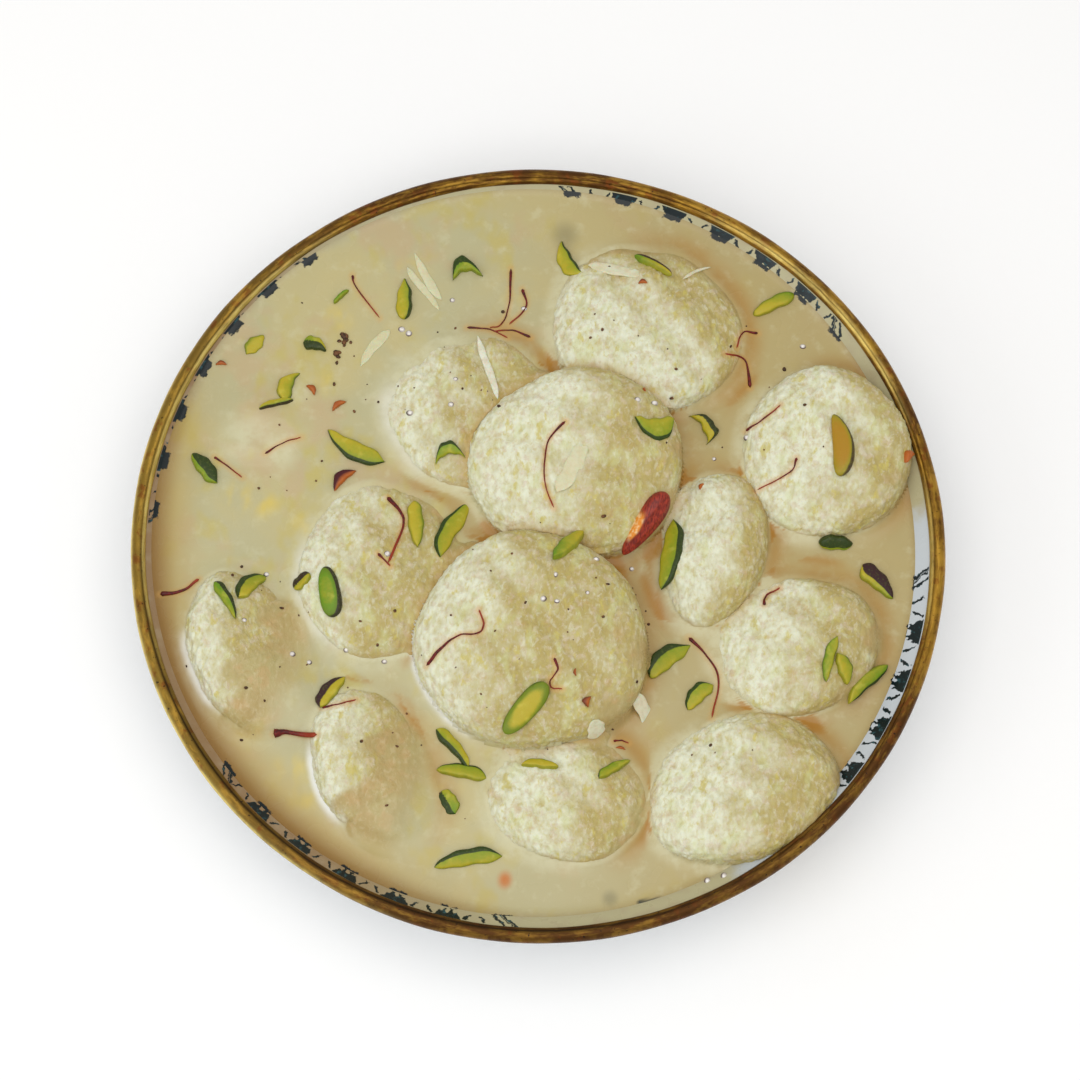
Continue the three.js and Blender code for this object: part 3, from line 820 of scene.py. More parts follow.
def glaze_finish(settings):
    finish = Finish("glaze", {"Specular IOR Level": 0.35})
    below_band = finish.fade(finish.value("drop"), -0.2, 0.05)
    mask = painted_border(finish, settings.group_centre) * below_band
    paint = finish.tinted(settings.paint, linear(52, 102, 110), finish.noise(1.2, 2), 0.54, 0.76, 0.65)
    glaze = finish.tinted(settings.glaze, linear(196, 203, 208), finish.noise(18, 3), 0.3, 0.7)
    # the milk stain on the wall, browner towards the left where the wall lies in shade: a real stain with
    # painted shade
    film = finish.mix(finish.value("brown"), linear(182, 174, 132), linear(146, 112, 66))
    film = finish.tinted(film, linear(172, 154, 120), finish.noise(5, 2), 0.45, 0.7, 0.4)
    ragged = (finish.noise(4, 3, 0.6) - 0.5) * 0.5 + finish.value("stain")
    glaze = finish.tinted(glaze, film, ragged, 0.25, 0.75, 0.92)
    rough = finish.fade(finish.noise(3, 2), 0.3, 0.7, 0.24, 0.4)
    return finish.done(finish.mix(mask, glaze, paint), rough, finish.bump(finish.noise(9, 1), 0.15, 0.4))


def brass_finish(settings):
    finish = Finish("brass", {"Metallic": 0.8})
    x, y, z = finish.axes()
    radius = finish.sum("SQRT", x * x + y * y)
    streaks = finish.node("CombineXYZ", {0: x * 0.3, 1: y * 0.3, 2: radius * 1.7 + z})
    worn = finish.noise(0.9, 4, 0.6, streaks, 0.3)
    # polish: real polish, lighter at the back right and at both sides as painted light
    shade = worn * 0.3 + finish.noise(11, 4, 0.62) * 0.5 + finish.value("polish") * 0.2
    colour = finish.tinted(settings.patina, settings.brass, shade, 0.36, 0.62)
    # an olive painted reflection on the left of the band
    colour = finish.mix(finish.value("olive") * 0.7, colour, linear(140, 114, 44))
    colour = finish.tinted(colour, linear(120, 62, 16), finish.noise(3.4, 3, 0.6), 0.54, 0.66, 0.7)
    bright = finish.noise(3.0, 4, 0.7, streaks)
    colour = finish.tinted(colour, linear(196, 152, 58), bright, 0.48, 0.66, 0.6)
    # painted shade on the band at the front
    colour = finish.marked(colour, dull=linear(72, 44, 14))
    colour = finish.tinted(colour, linear(44, 28, 16), finish.noise(0.9, 2, 0.5), 0.66, 0.74)
    # the painted highlight lines, broken up along streaks
    rubbed = finish.fade(finish.noise(2.0, 3, 0.65, streaks), 0.35, 0.6, 0.45, 1.0)
    colour = finish.mix(finish.value("ridge") * rubbed, colour, linear(232, 210, 124))
    # patina in the groove, darker still towards the front left as painted shade
    colour = finish.marked(colour, groove=linear(38, 20, 2))
    dents = finish.bump(finish.noise(5.5, 2, 0.5), 0.3, 0.5)
    return finish.done(colour, finish.fade(shade, 0.36, 0.62, 0.5, 0.32), finish.bump(worn, 0.2, 0.08, dents))


def milk_finish(settings, cheese):
    finish = Finish("saffron_milk", {
        "Subsurface Weight": 0.1, "Subsurface Scale": 0.0015, "Subsurface Radius": (1, 0.9, 0.7),
        "Specular IOR Level": 0.35,
    })
    broad = finish.noise(32, 3, 0.55, distortion=0.6)
    colour = finish.tinted(settings.cream, linear(184, 178, 138), broad, 0.35, 0.65)
    peach = finish.noise(17, 3, 0.6, finish.stretched((1, 1, 1), 1.1))
    colour = finish.tinted(colour, linear(192, 170, 130), peach, 0.5, 0.68, 0.7)
    yellow = finish.noise(13, 3, 0.6, finish.stretched((1, 0.7, 1), 0.4))
    colour = finish.tinted(colour, linear(190, 176, 100), yellow, 0.52, 0.68, 0.75)
    colour = finish.marked(colour, warm=linear(178, 160, 108))
    colour = finish.tinted(colour, settings.pale, finish.noise(5, 3, 0.6), 0.52, 0.74, 0.35)
    threads = finish.fade(finish.noise(5, 2, 0.5, finish.stretched((1, 0.6, 1))), 0.35, 0.75)
    colour = finish.mix(finish.value("streak") * threads, colour, settings.saffron)
    colour = finish.marked(colour, gold=linear(174, 148, 80))
    uneven = finish.fade(finish.noise(8, 3, 0.6), 0.3, 0.6, 0.5, 1.0)
    # painted shade in the milk on the side of each disc away from the light
    colour = finish.mix(finish.value("lee") * uneven, colour, linear(174, 136, 72))
    # edge: painted shadow of the band and the wall on the milk beside them, widest on the left
    colour = finish.marked(
        colour, film=filmed_colour(finish, cheese), edge=linear(132, 92, 38), deep=settings.amber,
    )
    ragged = finish.fade(finish.noise(4, 3, 0.6), 0.3, 0.6, 0.4, 1.0)
    # thin: pale thin milk over cheese just under it; beside the discs it lies only on their lit side, which is
    # painted light
    colour = finish.mix(finish.value("thin") * ragged, colour, settings.pale)
    # line: a painted highlight on the milk where it climbs the lit side of a disc
    colour = finish.marked(colour, line=linear(240, 242, 240), ghost=linear(16, 32, 34))
    torn = (finish.noise(1.4, 3, 0.6) - 0.5) * 2.2 + finish.value("border")
    colour = finish.tinted(colour, linear(6, 20, 22), torn, -0.1, 0.3)
    colour = finish.marked(
        colour, halo=linear(206, 158, 84), orange=linear(192, 108, 30), mark=linear(20, 42, 50),
    )
    skin = finish.bump(finish.noise(3.2, 2, 0.5), 0.1, 0.25)
    skin = finish.bump(curd_grains(finish), finish.value("film") * 0.45, 0.35, skin)
    return finish.done(colour, finish.fade(finish.noise(9, 2), 0.3, 0.7, 0.18, 0.3), skin)


def curd_grains(finish):
    return finish.noise(1.2, 3, 0.62, finish.stretched((1, 0.6, 1), 0.35), 0.5)


def filmed_colour(finish, settings):
    """The milk that lies over cheese, on the discs and on the milk alike."""
    tan = finish.tinted(settings.tan, linear(180, 166, 112), finish.noise(7, 3), 0.4, 0.7)
    tan = finish.tinted(tan, linear(190, 160, 108), finish.noise(4.5, 3, 0.6), 0.48, 0.66, 0.7)
    grains = curd_grains(finish)
    # the grains lighter on their tops and darker between them, as the bump has them: painted highlight and
    # painted shade along with the film's own tone
    tan = finish.tinted(tan, linear(210, 194, 154), grains, 0.5, 0.7, 0.35)
    return finish.tinted(tan, linear(168, 142, 80), grains, 0.48, 0.3, 0.35)


def cheese_finish(settings):
    finish = Finish("fresh_cheese", {
        "Subsurface Weight": 0.25, "Subsurface Scale": 0.0015, "Subsurface Radius": (1, 0.85, 0.6),
        "Specular IOR Level": 0.3,
    })
    upright = finish.stretched((1, 0.6, 1), 0.35)
    patches = (finish.noise(5, 3, 0.6) - 0.5) * 1.6
    # bare: pale dry curd, with painted light on the faces turned to the left
    bare = finish.sum("ADD", patches, finish.value("bare"), clamp=True)
    colour = finish.mix(bare, settings.cream, settings.white)
    colour = finish.tinted(colour, linear(206, 188, 164), finish.noise(2.4, 3, 0.65), 0.5, 0.66, 0.55)
    colour = finish.tinted(colour, linear(204, 208, 150), finish.noise(4.2, 3, 0.6, upright), 0.5, 0.68, 0.5)
    colour = finish.tinted(colour, linear(200, 186, 92), finish.noise(2.9, 3, 0.65, upright), 0.56, 0.7, 0.7)
    colour = finish.tinted(colour, linear(186, 152, 96), finish.noise(4.6, 4, 0.65), 0.56, 0.7, 0.42)
    grains = curd_grains(finish)
    # the grains lighter on their tops and yellower and darker between them, as the bump has them: the curds'
    # own tone with painted highlight and painted shade
    colour = finish.tinted(colour, linear(230, 232, 212), grains, 0.5, 0.68, 0.33)
    colour = finish.tinted(colour, linear(192, 178, 98), grains, 0.48, 0.3, 0.42)
    # dent: a darker yellow tint in the curds' furrows, painted shade
    colour = finish.tinted(colour, linear(184, 170, 98), finish.value("dent"), 0.05, 0.8, 0.36)
    # crevice: painted shade on the curd beside the discs above it
    colour = finish.marked(
        colour, film=filmed_colour(finish, settings), crevice=linear(186, 146, 80), halo=linear(212, 160, 96),
    )
    film = finish.value("film")
    curds = finish.bump(grains, film * -0.3 + 0.6, 0.4)
    curds = finish.bump(finish.noise(0.6, 3, 0.6), film * -0.2 + 0.4, 0.15, curds)
    return finish.done(colour, finish.fade(film, 0, 1, 0.5, 0.3), curds)


def pistachio_finish(settings):
    finish = Finish("pistachio", {
        "Subsurface Weight": 0.08, "Subsurface Scale": 0.0015, "Specular IOR Level": 0.25,
        "Coat Weight": 0.06, "Coat Roughness": 0.2,
    })
    mottled = (finish.noise(1.6, 3, 0.6) - 0.5) * 0.7
    green = finish.sum("ADD", finish.value("green"), mottled, clamp=True)
    colour = finish.mix(green, settings.flesh, settings.green)
    colour = finish.tinted(colour, linear(206, 196, 84), finish.noise(2.6, 2), 0.55, 0.75, 0.35)
    colour = finish.marked(colour, gold=linear(168, 122, 26))
    near_skin = mottled * 0.5 + finish.value("rim")
    colour = finish.tinted(colour, linear(96, 118, 26), near_skin, 0.25, 0.95, 0.65)
    skin = finish.mix(finish.value("brown"), settings.skin, settings.brown_skin)
    skin = finish.tinted(skin, linear(88, 96, 40), finish.noise(0.7, 2), 0.5, 0.7, 0.4)
    colour = finish.tinted(colour, skin, mottled * 0.35 + finish.value("skin"), 0.38, 0.66)
    grain = finish.noise(0.6, 3, 0.6)
    return finish.done(colour, finish.fade(grain, 0.3, 0.7, 0.3, 0.5), finish.bump(grain, 0.35, 0.15))


def almond_finish(settings):
    finish = Finish("almond", {"Specular IOR Level": 0.3, "Coat Weight": 0.06, "Coat Roughness": 0.25})
    ridges = finish.noise(0.9, 3, 0.6, finish.stretched((3.0, 0.7, 1), math.radians(-65)))
    skin = finish.tinted(settings.almond, linear(164, 54, 34), ridges, 0.35, 0.65)
    skin = finish.tinted(skin, linear(84, 22, 22), finish.noise(3.2, 2), 0.5, 0.68, 0.5)
    flesh = finish.tinted(linear(222, 136, 36), linear(236, 196, 140), finish.noise(1.4, 2), 0.4, 0.6)
    rust = finish.mix(finish.noise(1.1, 2), linear(190, 106, 36), linear(156, 72, 20))
    colour = finish.marked(skin, flesh=flesh, rust=rust, dark=linear(72, 18, 24))
    return finish.done(colour, 0.4, finish.bump(ridges, 0.4, 0.2))


def flake_finish():
    finish = Finish("almond_flake", {
        "Subsurface Weight": 0.3, "Subsurface Scale": 0.002, "Specular IOR Level": 0.45,
    })
    fibres = finish.noise(1.6, 3, 0.6)
    colour = finish.tinted(linear(228, 226, 208), linear(212, 204, 176), fibres, 0.35, 0.7)
    colour = finish.marked(colour, sunk=linear(212, 196, 146))
    return finish.done(colour, 0.35, finish.bump(fibres, 0.15, 0.1))


def saffron_finish(settings):
    finish = Finish("saffron", {"Specular IOR Level": 0.35})
    colour = finish.tinted(settings.saffron, linear(70, 10, 12), finish.noise(0.8, 2), 0.35, 0.65)
    colour = finish.tinted(colour, linear(150, 50, 20), finish.value("tail"), 0.5, 1.0)
    return finish.done(colour, 0.45, finish.bump(finish.noise(0.35, 2), 0.4, 0.08))


def cardamom_finish():
    finish = Finish("cardamom", {"Specular IOR Level": 0.3})
    colour = finish.tinted(linear(62, 42, 26), linear(116, 76, 44), finish.noise(1.0, 2), 0.4, 0.62)
    return finish.done(colour, 0.55, finish.bump(finish.noise(0.3, 2), 0.5, 0.1))


def bubble_finish():
    finish = Finish("bubble_film", {"Coat Weight": 1.0, "Coat Roughness": 0.05, "Specular IOR Level": 0.6})
    # painted reflection: a light middle and a dark ring, set by the ring value from the bubble's own shape
    cloud = finish.noise(0.8, 2)
    middle = finish.tinted(linear(214, 204, 196), linear(236, 232, 226), cloud, 0.4, 0.6)
    ring = finish.tinted(linear(62, 46, 42), linear(104, 80, 78), cloud, 0.4, 0.6)
    return finish.done(finish.marked(middle, ring=ring), 0.15)


# Bowl and band

def turned_profile(name, profile, closed):
    """A profile of radius and height in mm, spun about the bowl's axis into a closed wall."""
    clear_selection()
    bpy.ops.mesh.primitive_circle_add(vertices=len(profile), radius=0.05)
    obj = added(name)
    places = np.zeros((len(profile), 3))
    places[:, [0, 2]] = profile
    write_points(obj, places)
    if not closed:
        ends = np.zeros(len(profile), dtype=bool)
        ends[[0, -1]] = True
        select_vertices(obj, ends)
        bpy.ops.mesh.delete(type="EDGE_FACE")
        mode("OBJECT")
    only(obj)
    mode("EDIT")
    bpy.ops.mesh.select_all(action="SELECT")
    bpy.ops.mesh.spin(steps=TURN_STEPS, angle=2 * math.pi, center=(0, 0, 0), axis=(0, 0, 1))
    mode("OBJECT")
    closed_outwards(obj)
    return obj


def leaned(obj):
    points = read_points(obj)
    points[:, 2] += lean_at(points[:, 0], points[:, 1])
    write_points(obj, points)


class RASMALAI_OT_bowl(bpy.types.Operator):
    """Glazed bowl: inside, lip, plain outside and foot ring, spun from one profile"""
    bl_idname = "rasmalai.bowl"
    bl_label = "Bowl"

    def execute(self, context):
        settings = context.scene.rasmalai_bowl
        half = settings.lip_thickness / MM / 2
        top = beside_band(-LIP_VISIBLE, half)
        inside = eased([*INSIDE[:-1], top], 7)
        lip = [beside_band(SHEATH, half), beside_band(SHEATH, -half)]
        outside = eased([beside_band(-LIP_VISIBLE, -half), *OUTSIDE[1:]], 6)
        bowl = turned_profile("glazed_bowl", [*inside, *lip, *outside, *FOOT], closed=False)
        x, y, z = read_points(bowl).T
        radius, angle = np.hypot(x, y), np.arctan2(y, x)
        on_inside = np.abs(z - np.interp(radius, inside[:, 0], inside[:, 1])) < 0.05
        drop = np.where(on_inside, np.hypot(top[0] - radius, top[1] - z), -5)
        write_values(
            bowl,
            drop=drop / (1 + 0.5 * facing(angle, CLEAN_TOWARD, 0.75, 0.95)),
            stain=on_inside * (1 - facing(angle, CLEAN_TOWARD, 0.78, 0.9)),
            # browner stain towards the left, where the wall lies in shade: painted shade
            brown=facing(angle, 195, 0.2, 0.8),
        )
        leaned(bowl)
        settle(bowl, glaze_finish(settings), "glaze", "bowl")
        return {"FINISHED"}


def band_wear(turn, angle):
    """What the brass reads, by the turn round the band's own middle and the angle round the bowl. Much of it
    is painted light: highlight lines along the bead at the left, the right and the back right, polish that is
    lighter at the back right and at both sides, an olive reflection on the left and painted shade at the front.
    The groove is dark with patina, and darker still towards the front left as painted shade.
    """
    # painted highlight lines along the bead, where it faces the light
    upper_left = 0.95 * facing(angle, 166, 0.72, 0.95)
    right = 0.6 * facing(angle, 3, 0.97, 0.995)
    inner_line = (upper_left + right) * hump(turn, RIDGE_AT, 0.45)
    outer_line = facing(angle, 200, 0.5, 0.92) * hump(turn, -0.4, 0.4)
    broad_line = 0.75 * facing(angle, 46, 0.9, 0.98) * hump(turn, math.radians(84), 0.4)
    # painted shade in the groove, strongest at the front left
    dark_low = 0.15 + 0.75 * facing(angle, 243, 0.4, 0.85)
    sides = 0.45 * smoothstep(np.abs(np.cos(angle)), 0.88, 1)
    return dict(
        groove=dark_low * hump(turn, GROOVE_AT - 0.1, 1.7 * GROOVE_WIDTH),
        ridge=inner_line + outer_line + broad_line,
        polish=0.3 * facing(angle, 50, 0.85, 1) + sides,
        olive=facing(angle, 190, 0.3, 0.95),
        dull=0.5 * facing(angle, 285, 0.2, 0.9),
    )


class RASMALAI_OT_band(bpy.types.Operator):
    """Worn brass band: a round bead with a groove where it was rolled over the lip"""
    bl_idname = "rasmalai.band"
    bl_label = "Brass band"

    def execute(self, context):
        settings = context.scene.rasmalai_bowl
        radius = settings.band_radius / MM
        turns = np.linspace(-math.pi, math.pi, 56, endpoint=False)
        reach = radius - GROOVE_DEPTH * hump(turns, GROOVE_AT, GROOVE_WIDTH)
        section = [beside_band(r * math.cos(t), r * math.sin(t)) for r, t in zip(reach, turns)]
        band = turned_profile("brass_bead", section, closed=True)
        x, y, z = read_points(band).T
        angle = np.arctan2(y, x)
        out, up = np.hypot(x, y) - BAND_CENTRE[0], z - BAND_CENTRE[1]
        turn = (np.arctan2(up, out) - LIP_SLOPE + math.pi) % (2 * math.pi) - math.pi
        write_values(band, **band_wear(turn, angle))
        dents = 0.05 * np.sin(7 * angle + 1) + 0.05 * np.sin(13 * angle) + 0.03 * np.sin(29 * angle + 2)
        scale = (radius - 0.1 + dents) / radius
        from_axis = BAND_CENTRE[0] + out * scale
        write_points(band, np.column_stack([
            from_axis * np.cos(angle), from_axis * np.sin(angle), BAND_CENTRE[1] + up * scale,
        ]))
        leaned(band)
        settle(band, brass_finish(settings), "brass", "brass_band")
        return {"FINISHED"}


# Cheese discs

def vertex_group(obj, name, weights):
    group = obj.vertex_groups.new(name=name)
    levels = 12
    steps = np.rint(np.clip(weights, 0, 1) * levels).astype(int)
    for level in range(levels + 1):
        group.add(np.flatnonzero(steps == level).tolist(), level / levels, "REPLACE")
    return name


def relief_texture(name, kind, **settings):
    texture = bpy.data.textures.new(name, kind)
    for key, value in settings.items():
        setattr(texture, key, value)
    return texture


def grain_guide(row, turn):
    """An empty whose turn and stretch give the curds of one disc their direction."""
    clear_selection()
    heading = math.radians(turn) + 0.2 * math.sin(row["down"])
    bpy.ops.object.empty_add(location=Vector(row["at"]) * MM, rotation=(0.1, 0.2, heading))
    guide = bpy.context.object
    guide.scale = (1.0, 1.7, 1.0)
    bpy.context.view_layer.update()
    return guide


def across_share(points, row):
    """How far along a disc each point lies towards its wet side, from -1 to 1."""
    wet_toward = math.radians(row.get("wet", WET_TOWARD))
    x, y = points[:, 0] - row["at"][0], points[:, 1] - row["at"][1]
    return (x * math.cos(wet_toward) + y * math.sin(wet_toward)) / (0.5 * (row["a"] + row["b"]))


def film_shares(points, row, level):
    """How far milk covers the curd on the right side of the disc, and near the waterline."""
    x, y, z = points.T
    ragged = 0.16 * np.sin(y / 3.1 + x / 7) + 0.1 * np.sin(y / 1.7 - x / 2.3)
    side = smoothstep(across_share(points, row) + ragged, row["film"] - 0.15, row["film"] + 0.35)
    waterline = smoothstep(z + 3 * ragged, level + 2.6, level + 0.8)
    return side, waterline * (0.2 + 0.8 * smoothstep(across_share(points, row), -0.5, 0.4))


def bare_share(points, normals, row):
    """How pale the curd is: pale where it is dry, away from the wet side, with painted light on the faces
    turned to the left, towards the key light, as the photograph shows.
    """
    turned_left = normals @ np.array([-0.75, -0.45, 0.48])
    return smoothstep(0.95 * turned_left - 0.75 * across_share(points, row) + row["pale"], 0.4, 1.35)


def near_share(points, tree, upper, reach):
    """How near each point is to an upper disc, from 1 where they touch to 0 at this reach."""
    result = np.zeros(len(points))
    far = np.hypot(points[:, 0] - upper["at"][0], points[:, 1] - upper["at"][1])
    for i in np.flatnonzero(far < max(upper["a"], upper["b"]) + reach + 1):
        found = tree.find_nearest(points[i].tolist(), reach)
        if found[0] is not None:
            result[i] = 1 - found[3] / reach
    return result


def widest_height(points, upper):
    """The height at which an upper disc is widest, beside each point."""
    down = math.radians(upper["down"])
    x, y = points[:, 0] - upper["at"][0], points[:, 1] - upper["at"][1]
    fall = math.tan(math.radians(upper["tilt"])) * (x * math.cos(down) + y * math.sin(down))
    return upper["at"][2] - fall


def halo_share(points, reach=1.5):
    """How close each point lies to a saffron thread, seen from above."""
    result = np.zeros(len(points))
    for places, _ in THREADS:
        route = eased(places, 8)
        beside = np.abs(points[:, :2] - route.mean(axis=0)) < np.ptp(route, axis=0) + reach
        near = np.flatnonzero(beside.all(axis=1))
        for x, y in route:
            far = np.hypot(points[near, 0] - x, points[near, 1] - y)
            result[near] = np.maximum(result[near], smoothstep(far, reach, 0.2))
    return result


def evenly_spread(directions, row):
    """Unit directions moved along their meridians so that they lie evenly on the disc's flat form."""
    out = np.linspace(0, 1, 400)
    a = 0.5 * (row["a"] + row["b"])
    up = np.sqrt(1 - out ** 2) ** DISC_ROUNDNESS * row["thick"] / 2
    steps = np.hypot(np.diff(out ** DISC_ROUNDNESS * a), np.diff(up))
    length = np.concatenate([[0], np.cumsum(steps)])
    flat = np.hypot(directions[:, 0], directions[:, 1])
    turn = np.arctan2(flat, np.abs(directions[:, 2])) / (math.pi / 2)
    share = np.interp(turn * length[-1], length, out)
    scale = share / np.maximum(flat, 1e-9)
    up = np.sign(directions[:, 2]) * np.sqrt(np.clip(1 - share ** 2, 0, 1))
    return np.column_stack([directions[:, 0] * scale, directions[:, 1] * scale, up])


def form_of(directions, row, seed):
    return moved(disc_form(evenly_spread(directions, row), row, seed), disc_frame(row))


def disc_ball(row, seed, level):
    """A sphere that is finer where the disc made of it shows, and its unit directions."""
    disc = ball("cheese_" + row["name"], 6)
    coarse = form_of(read_points(disc) * MM, row, seed)
    select_vertices(disc, coarse[:, 2] > level - 1.5)
    bpy.ops.mesh.subdivide(number_cuts=2)
    mode("OBJECT")
    directions = read_points(disc) * MM
    return disc, directions / np.linalg.norm(directions, axis=1)[:, None]


def curdled(disc, row, cheese, shown, patch, normals):
    """Works lumps and curds into a disc, in two lies of grain that meet at patches. Returns how far each
    point is pressed in, as a share of the curds' depth."""
    lumps = relief_texture("lumps", "CLOUDS", noise_scale=cheese.lump, noise_depth=1)
    curds = relief_texture("curds", "VORONOI", noise_scale=cheese.curd, noise_intensity=1.15)
    crumb = relief_texture("crumb", "CLOUDS", noise_scale=cheese.curd, noise_depth=3)
    guides = [grain_guide(row, 15), grain_guide(row, -25)]
    lies = [
        vertex_group(disc, "first_lie", shown * patch),
        vertex_group(disc, "second_lie", shown * (1 - patch)),
    ]
    whole = vertex_group(disc, "shown", shown)

    def pushed(texture, strength, mid_level, guide, group):
        with_modifier(
            disc, "DISPLACE", texture=texture, strength=strength, mid_level=mid_level, direction="NORMAL",
            texture_coords="OBJECT", texture_coords_object=guide, vertex_group=group,
        )

    pushed(lumps, cheese.lump_depth, 0.5, guides[0], whole)
    before = read_points(disc)
    for guide, group in zip(guides, lies):
        pushed(curds, -cheese.curd_depth, 0.4, guide, group)
    pushed(crumb, cheese.curd_depth * 1.4, 0.5, guides[0], whole)
    for guide in guides:
        bpy.data.objects.remove(guide)
    disc.vertex_groups.clear()
    return np.sum((before - read_points(disc)) * normals, axis=1) / (cheese.curd_depth / MM)


def under_upper(points, seed):
    """A disc's points pressed under the discs above it."""
    for i, upper in enumerate(DISCS[:seed - 1]):
        points = pressed_under(points, upper, i + 1, DISC_GAP)
    return points


def disc_mesh(row, seed, cheese, level):
    """One disc with its curds, pressed under the discs above it."""
    disc, directions = disc_ball(row, seed, level)
    smooth = form_of(directions, row, seed)
    write_points(disc, smooth)
    normals = read_normals(disc)
    x, y, z = smooth.T
    side, waterline = film_shares(smooth, row, level)
    film = np.maximum(smoothstep(side, 0, 0.75), waterline)
    shown = (1 - 0.7 * side) * (1 - 0.8 * waterline) * smoothstep(z, level - 2, level)
    patch = smoothstep(np.sin(x / 4.3 + seed) + np.sin(y / 3.9 + 2 * seed), -0.5, 0.5)
    dent = curdled(disc, row, cheese, shown, patch, normals)
    # dent: painted shade in the curds' furrows
    write_values(disc, dent=dent * (1 - film), film=film, bare=bare_share(smooth, normals, row))
    write_points(disc, under_upper(read_points(disc), seed))
    return disc


def against_upper(points, level, trees):
    """How near the shown points of a disc are to the discs above it, and how far they rise beside them."""
    near, lift = np.zeros((2, len(points)))
    seen = points[:, 2] > level - 2
    for tree, upper in zip(trees, DISCS):
        share = near_share(points[seen], tree, upper, CREVICE_REACH)
        rise = np.clip(widest_height(points[seen], upper) - points[seen, 2], 0, MOST_LIFT)
        near[seen] = np.maximum(near[seen], share)
        lift[seen] = np.maximum(lift[seen], rise * smoothstep(share, 0.1, 0.95))
    return near, lift


class RASMALAI_OT_discs(bpy.types.Operator):
    """Thirteen cheese discs, each a flattened sphere with curdled relief"""
    bl_idname = "rasmalai.discs"
    bl_label = "Cheese discs"

    def execute(self, context):
        cheese = context.scene.rasmalai_cheese
        level = context.scene.rasmalai_milk.level / MM
        finish = cheese_finish(cheese)
        trees = []
        for i, row in enumerate(DISCS):
            disc = disc_mesh(row, i + 1, cheese, level)
            points = read_points(disc)
            near, lift = against_upper(points, level, trees)
            points[:, 2] += lift
            points = under_upper(points, i + 1)
            write_points(disc, points)
            # crevice: painted shade on the curd near the discs above it
            write_values(disc, crevice=0.6 * near ** 2, halo=0.5 * halo_share(points))
            trees.append(tree_of([disc]))
            settle(disc, finish, "fresh_cheese", "disc_" + row["name"])
        return {"FINISHED"}


# Milk

def grid_on_disc(across, along):
    """Places of a square grid from -1 to 1 carried onto a round disc, as radius and angle."""
    wide = np.abs(across) > np.abs(along)
    radius = np.where(wide, across, along)
    safe = np.where(radius == 0, 1, radius)
    angle = np.where(wide, along / safe, 2 - across / safe) * math.pi / 4
    return radius, angle


def milk_edge(angle, height):
    """The radius at which milk of this height meets the leaning wall."""
    radius = np.full(len(angle), BAND_CENTRE[0] - 5)
    for _ in range(12):
        radius = wall_radius(height - lean_at(radius * np.cos(angle), radius * np.sin(angle)))
    return radius


def disc_cover(x, y, level):
    """The height of the highest disc at each place, how wet and tan it is, and whether it lies low."""
    cover, wet, tanned, low = np.zeros((4, len(x)))
    for row in DISCS:
        disc = Surface(["cheese_" + row["name"]])
        near = np.flatnonzero(np.hypot(x - row["at"][0], y - row["at"][1]) < 1.15 * max(row["a"], row["b"]))
        heights = np.array([disc.height(x[i], y[i]) or 0 for i in near])
        places = np.column_stack([x[near], y[near], heights])
        share = film_shares(places, row, level)[0]
        tan_share = smoothstep(across_share(places, row), row["film"] + 0.95, row["film"] + 0.35)
        higher = heights > cover[near]
        wet[near[higher]] = share[higher]
        tanned[near[higher]] = tan_share[higher]
        low[near[higher]] = row["film"] < 0
        cover[near[higher]] = heights[higher]
    return cover, wet, tanned, low


def beside_discs(x, y, level, cover, reach=6.0):
    """How far each place in the milk lies from a disc, how much to its lit side, and that disc's gleam."""
    far = np.full(len(x), reach)
    side, gleam = np.zeros((2, len(x)))
    toward = math.radians(LIT_TOWARD)
    for row in [row for row in DISCS if row["film"] > -1]:
        tree = tree_of([bpy.data.objects["cheese_" + row["name"]]])
        from_x, from_y = x - row["at"][0], y - row["at"][1]
        around = np.hypot(from_x, from_y)
        lit = (from_x * math.cos(toward) + from_y * math.sin(toward)) / np.maximum(around, 1)
        for i in np.flatnonzero(around < 1.15 * max(row["a"], row["b"]) + reach):
            found = tree.find_nearest((x[i], y[i], level), far[i])
            if found[0] is not None:
                far[i] = found[3]
                side[i] = lit[i]
                gleam[i] = row.get("gleam", 0)
    far[(cover > level) & (far < reach)] = 0
    return far, side, gleam


def blurred(values, rounds):
    """Values on the square grid of the milk, each evened out with its neighbours."""
    side = math.isqrt(len(values))
    grid = values.reshape(side, side)
    kernel = np.array([1, 4, 6, 4, 1]) / 16
    for _ in range(rounds):
        for axis in (0, 1):
            wide = np.pad(grid, [(2, 2) if a == axis else (0, 0) for a in (0, 1)], mode="edge")
            parts = [np.take(wide, np.arange(k, k + side), axis=axis) for k in range(5)]
            grid = sum(weight * part for weight, part in zip(kernel, parts))
    return grid.ravel()


def sloped(heights, rounds, times):
    """Steps in the milk eased into gentle slopes that never fall below the given heights."""
    for _ in range(times):
        heights = np.maximum(heights, blurred(heights, rounds))
    return heights


def segment_distance(x, y, start, end):
    """How far places lie from a straight stretch between two points."""
    way = np.subtract(end, start)
    share = np.clip(((x - start[0]) * way[0] + (y - start[1]) * way[1]) / (way @ way), 0, 1)
    return np.hypot(x - start[0] - share * way[0], y - start[1] - share * way[1])


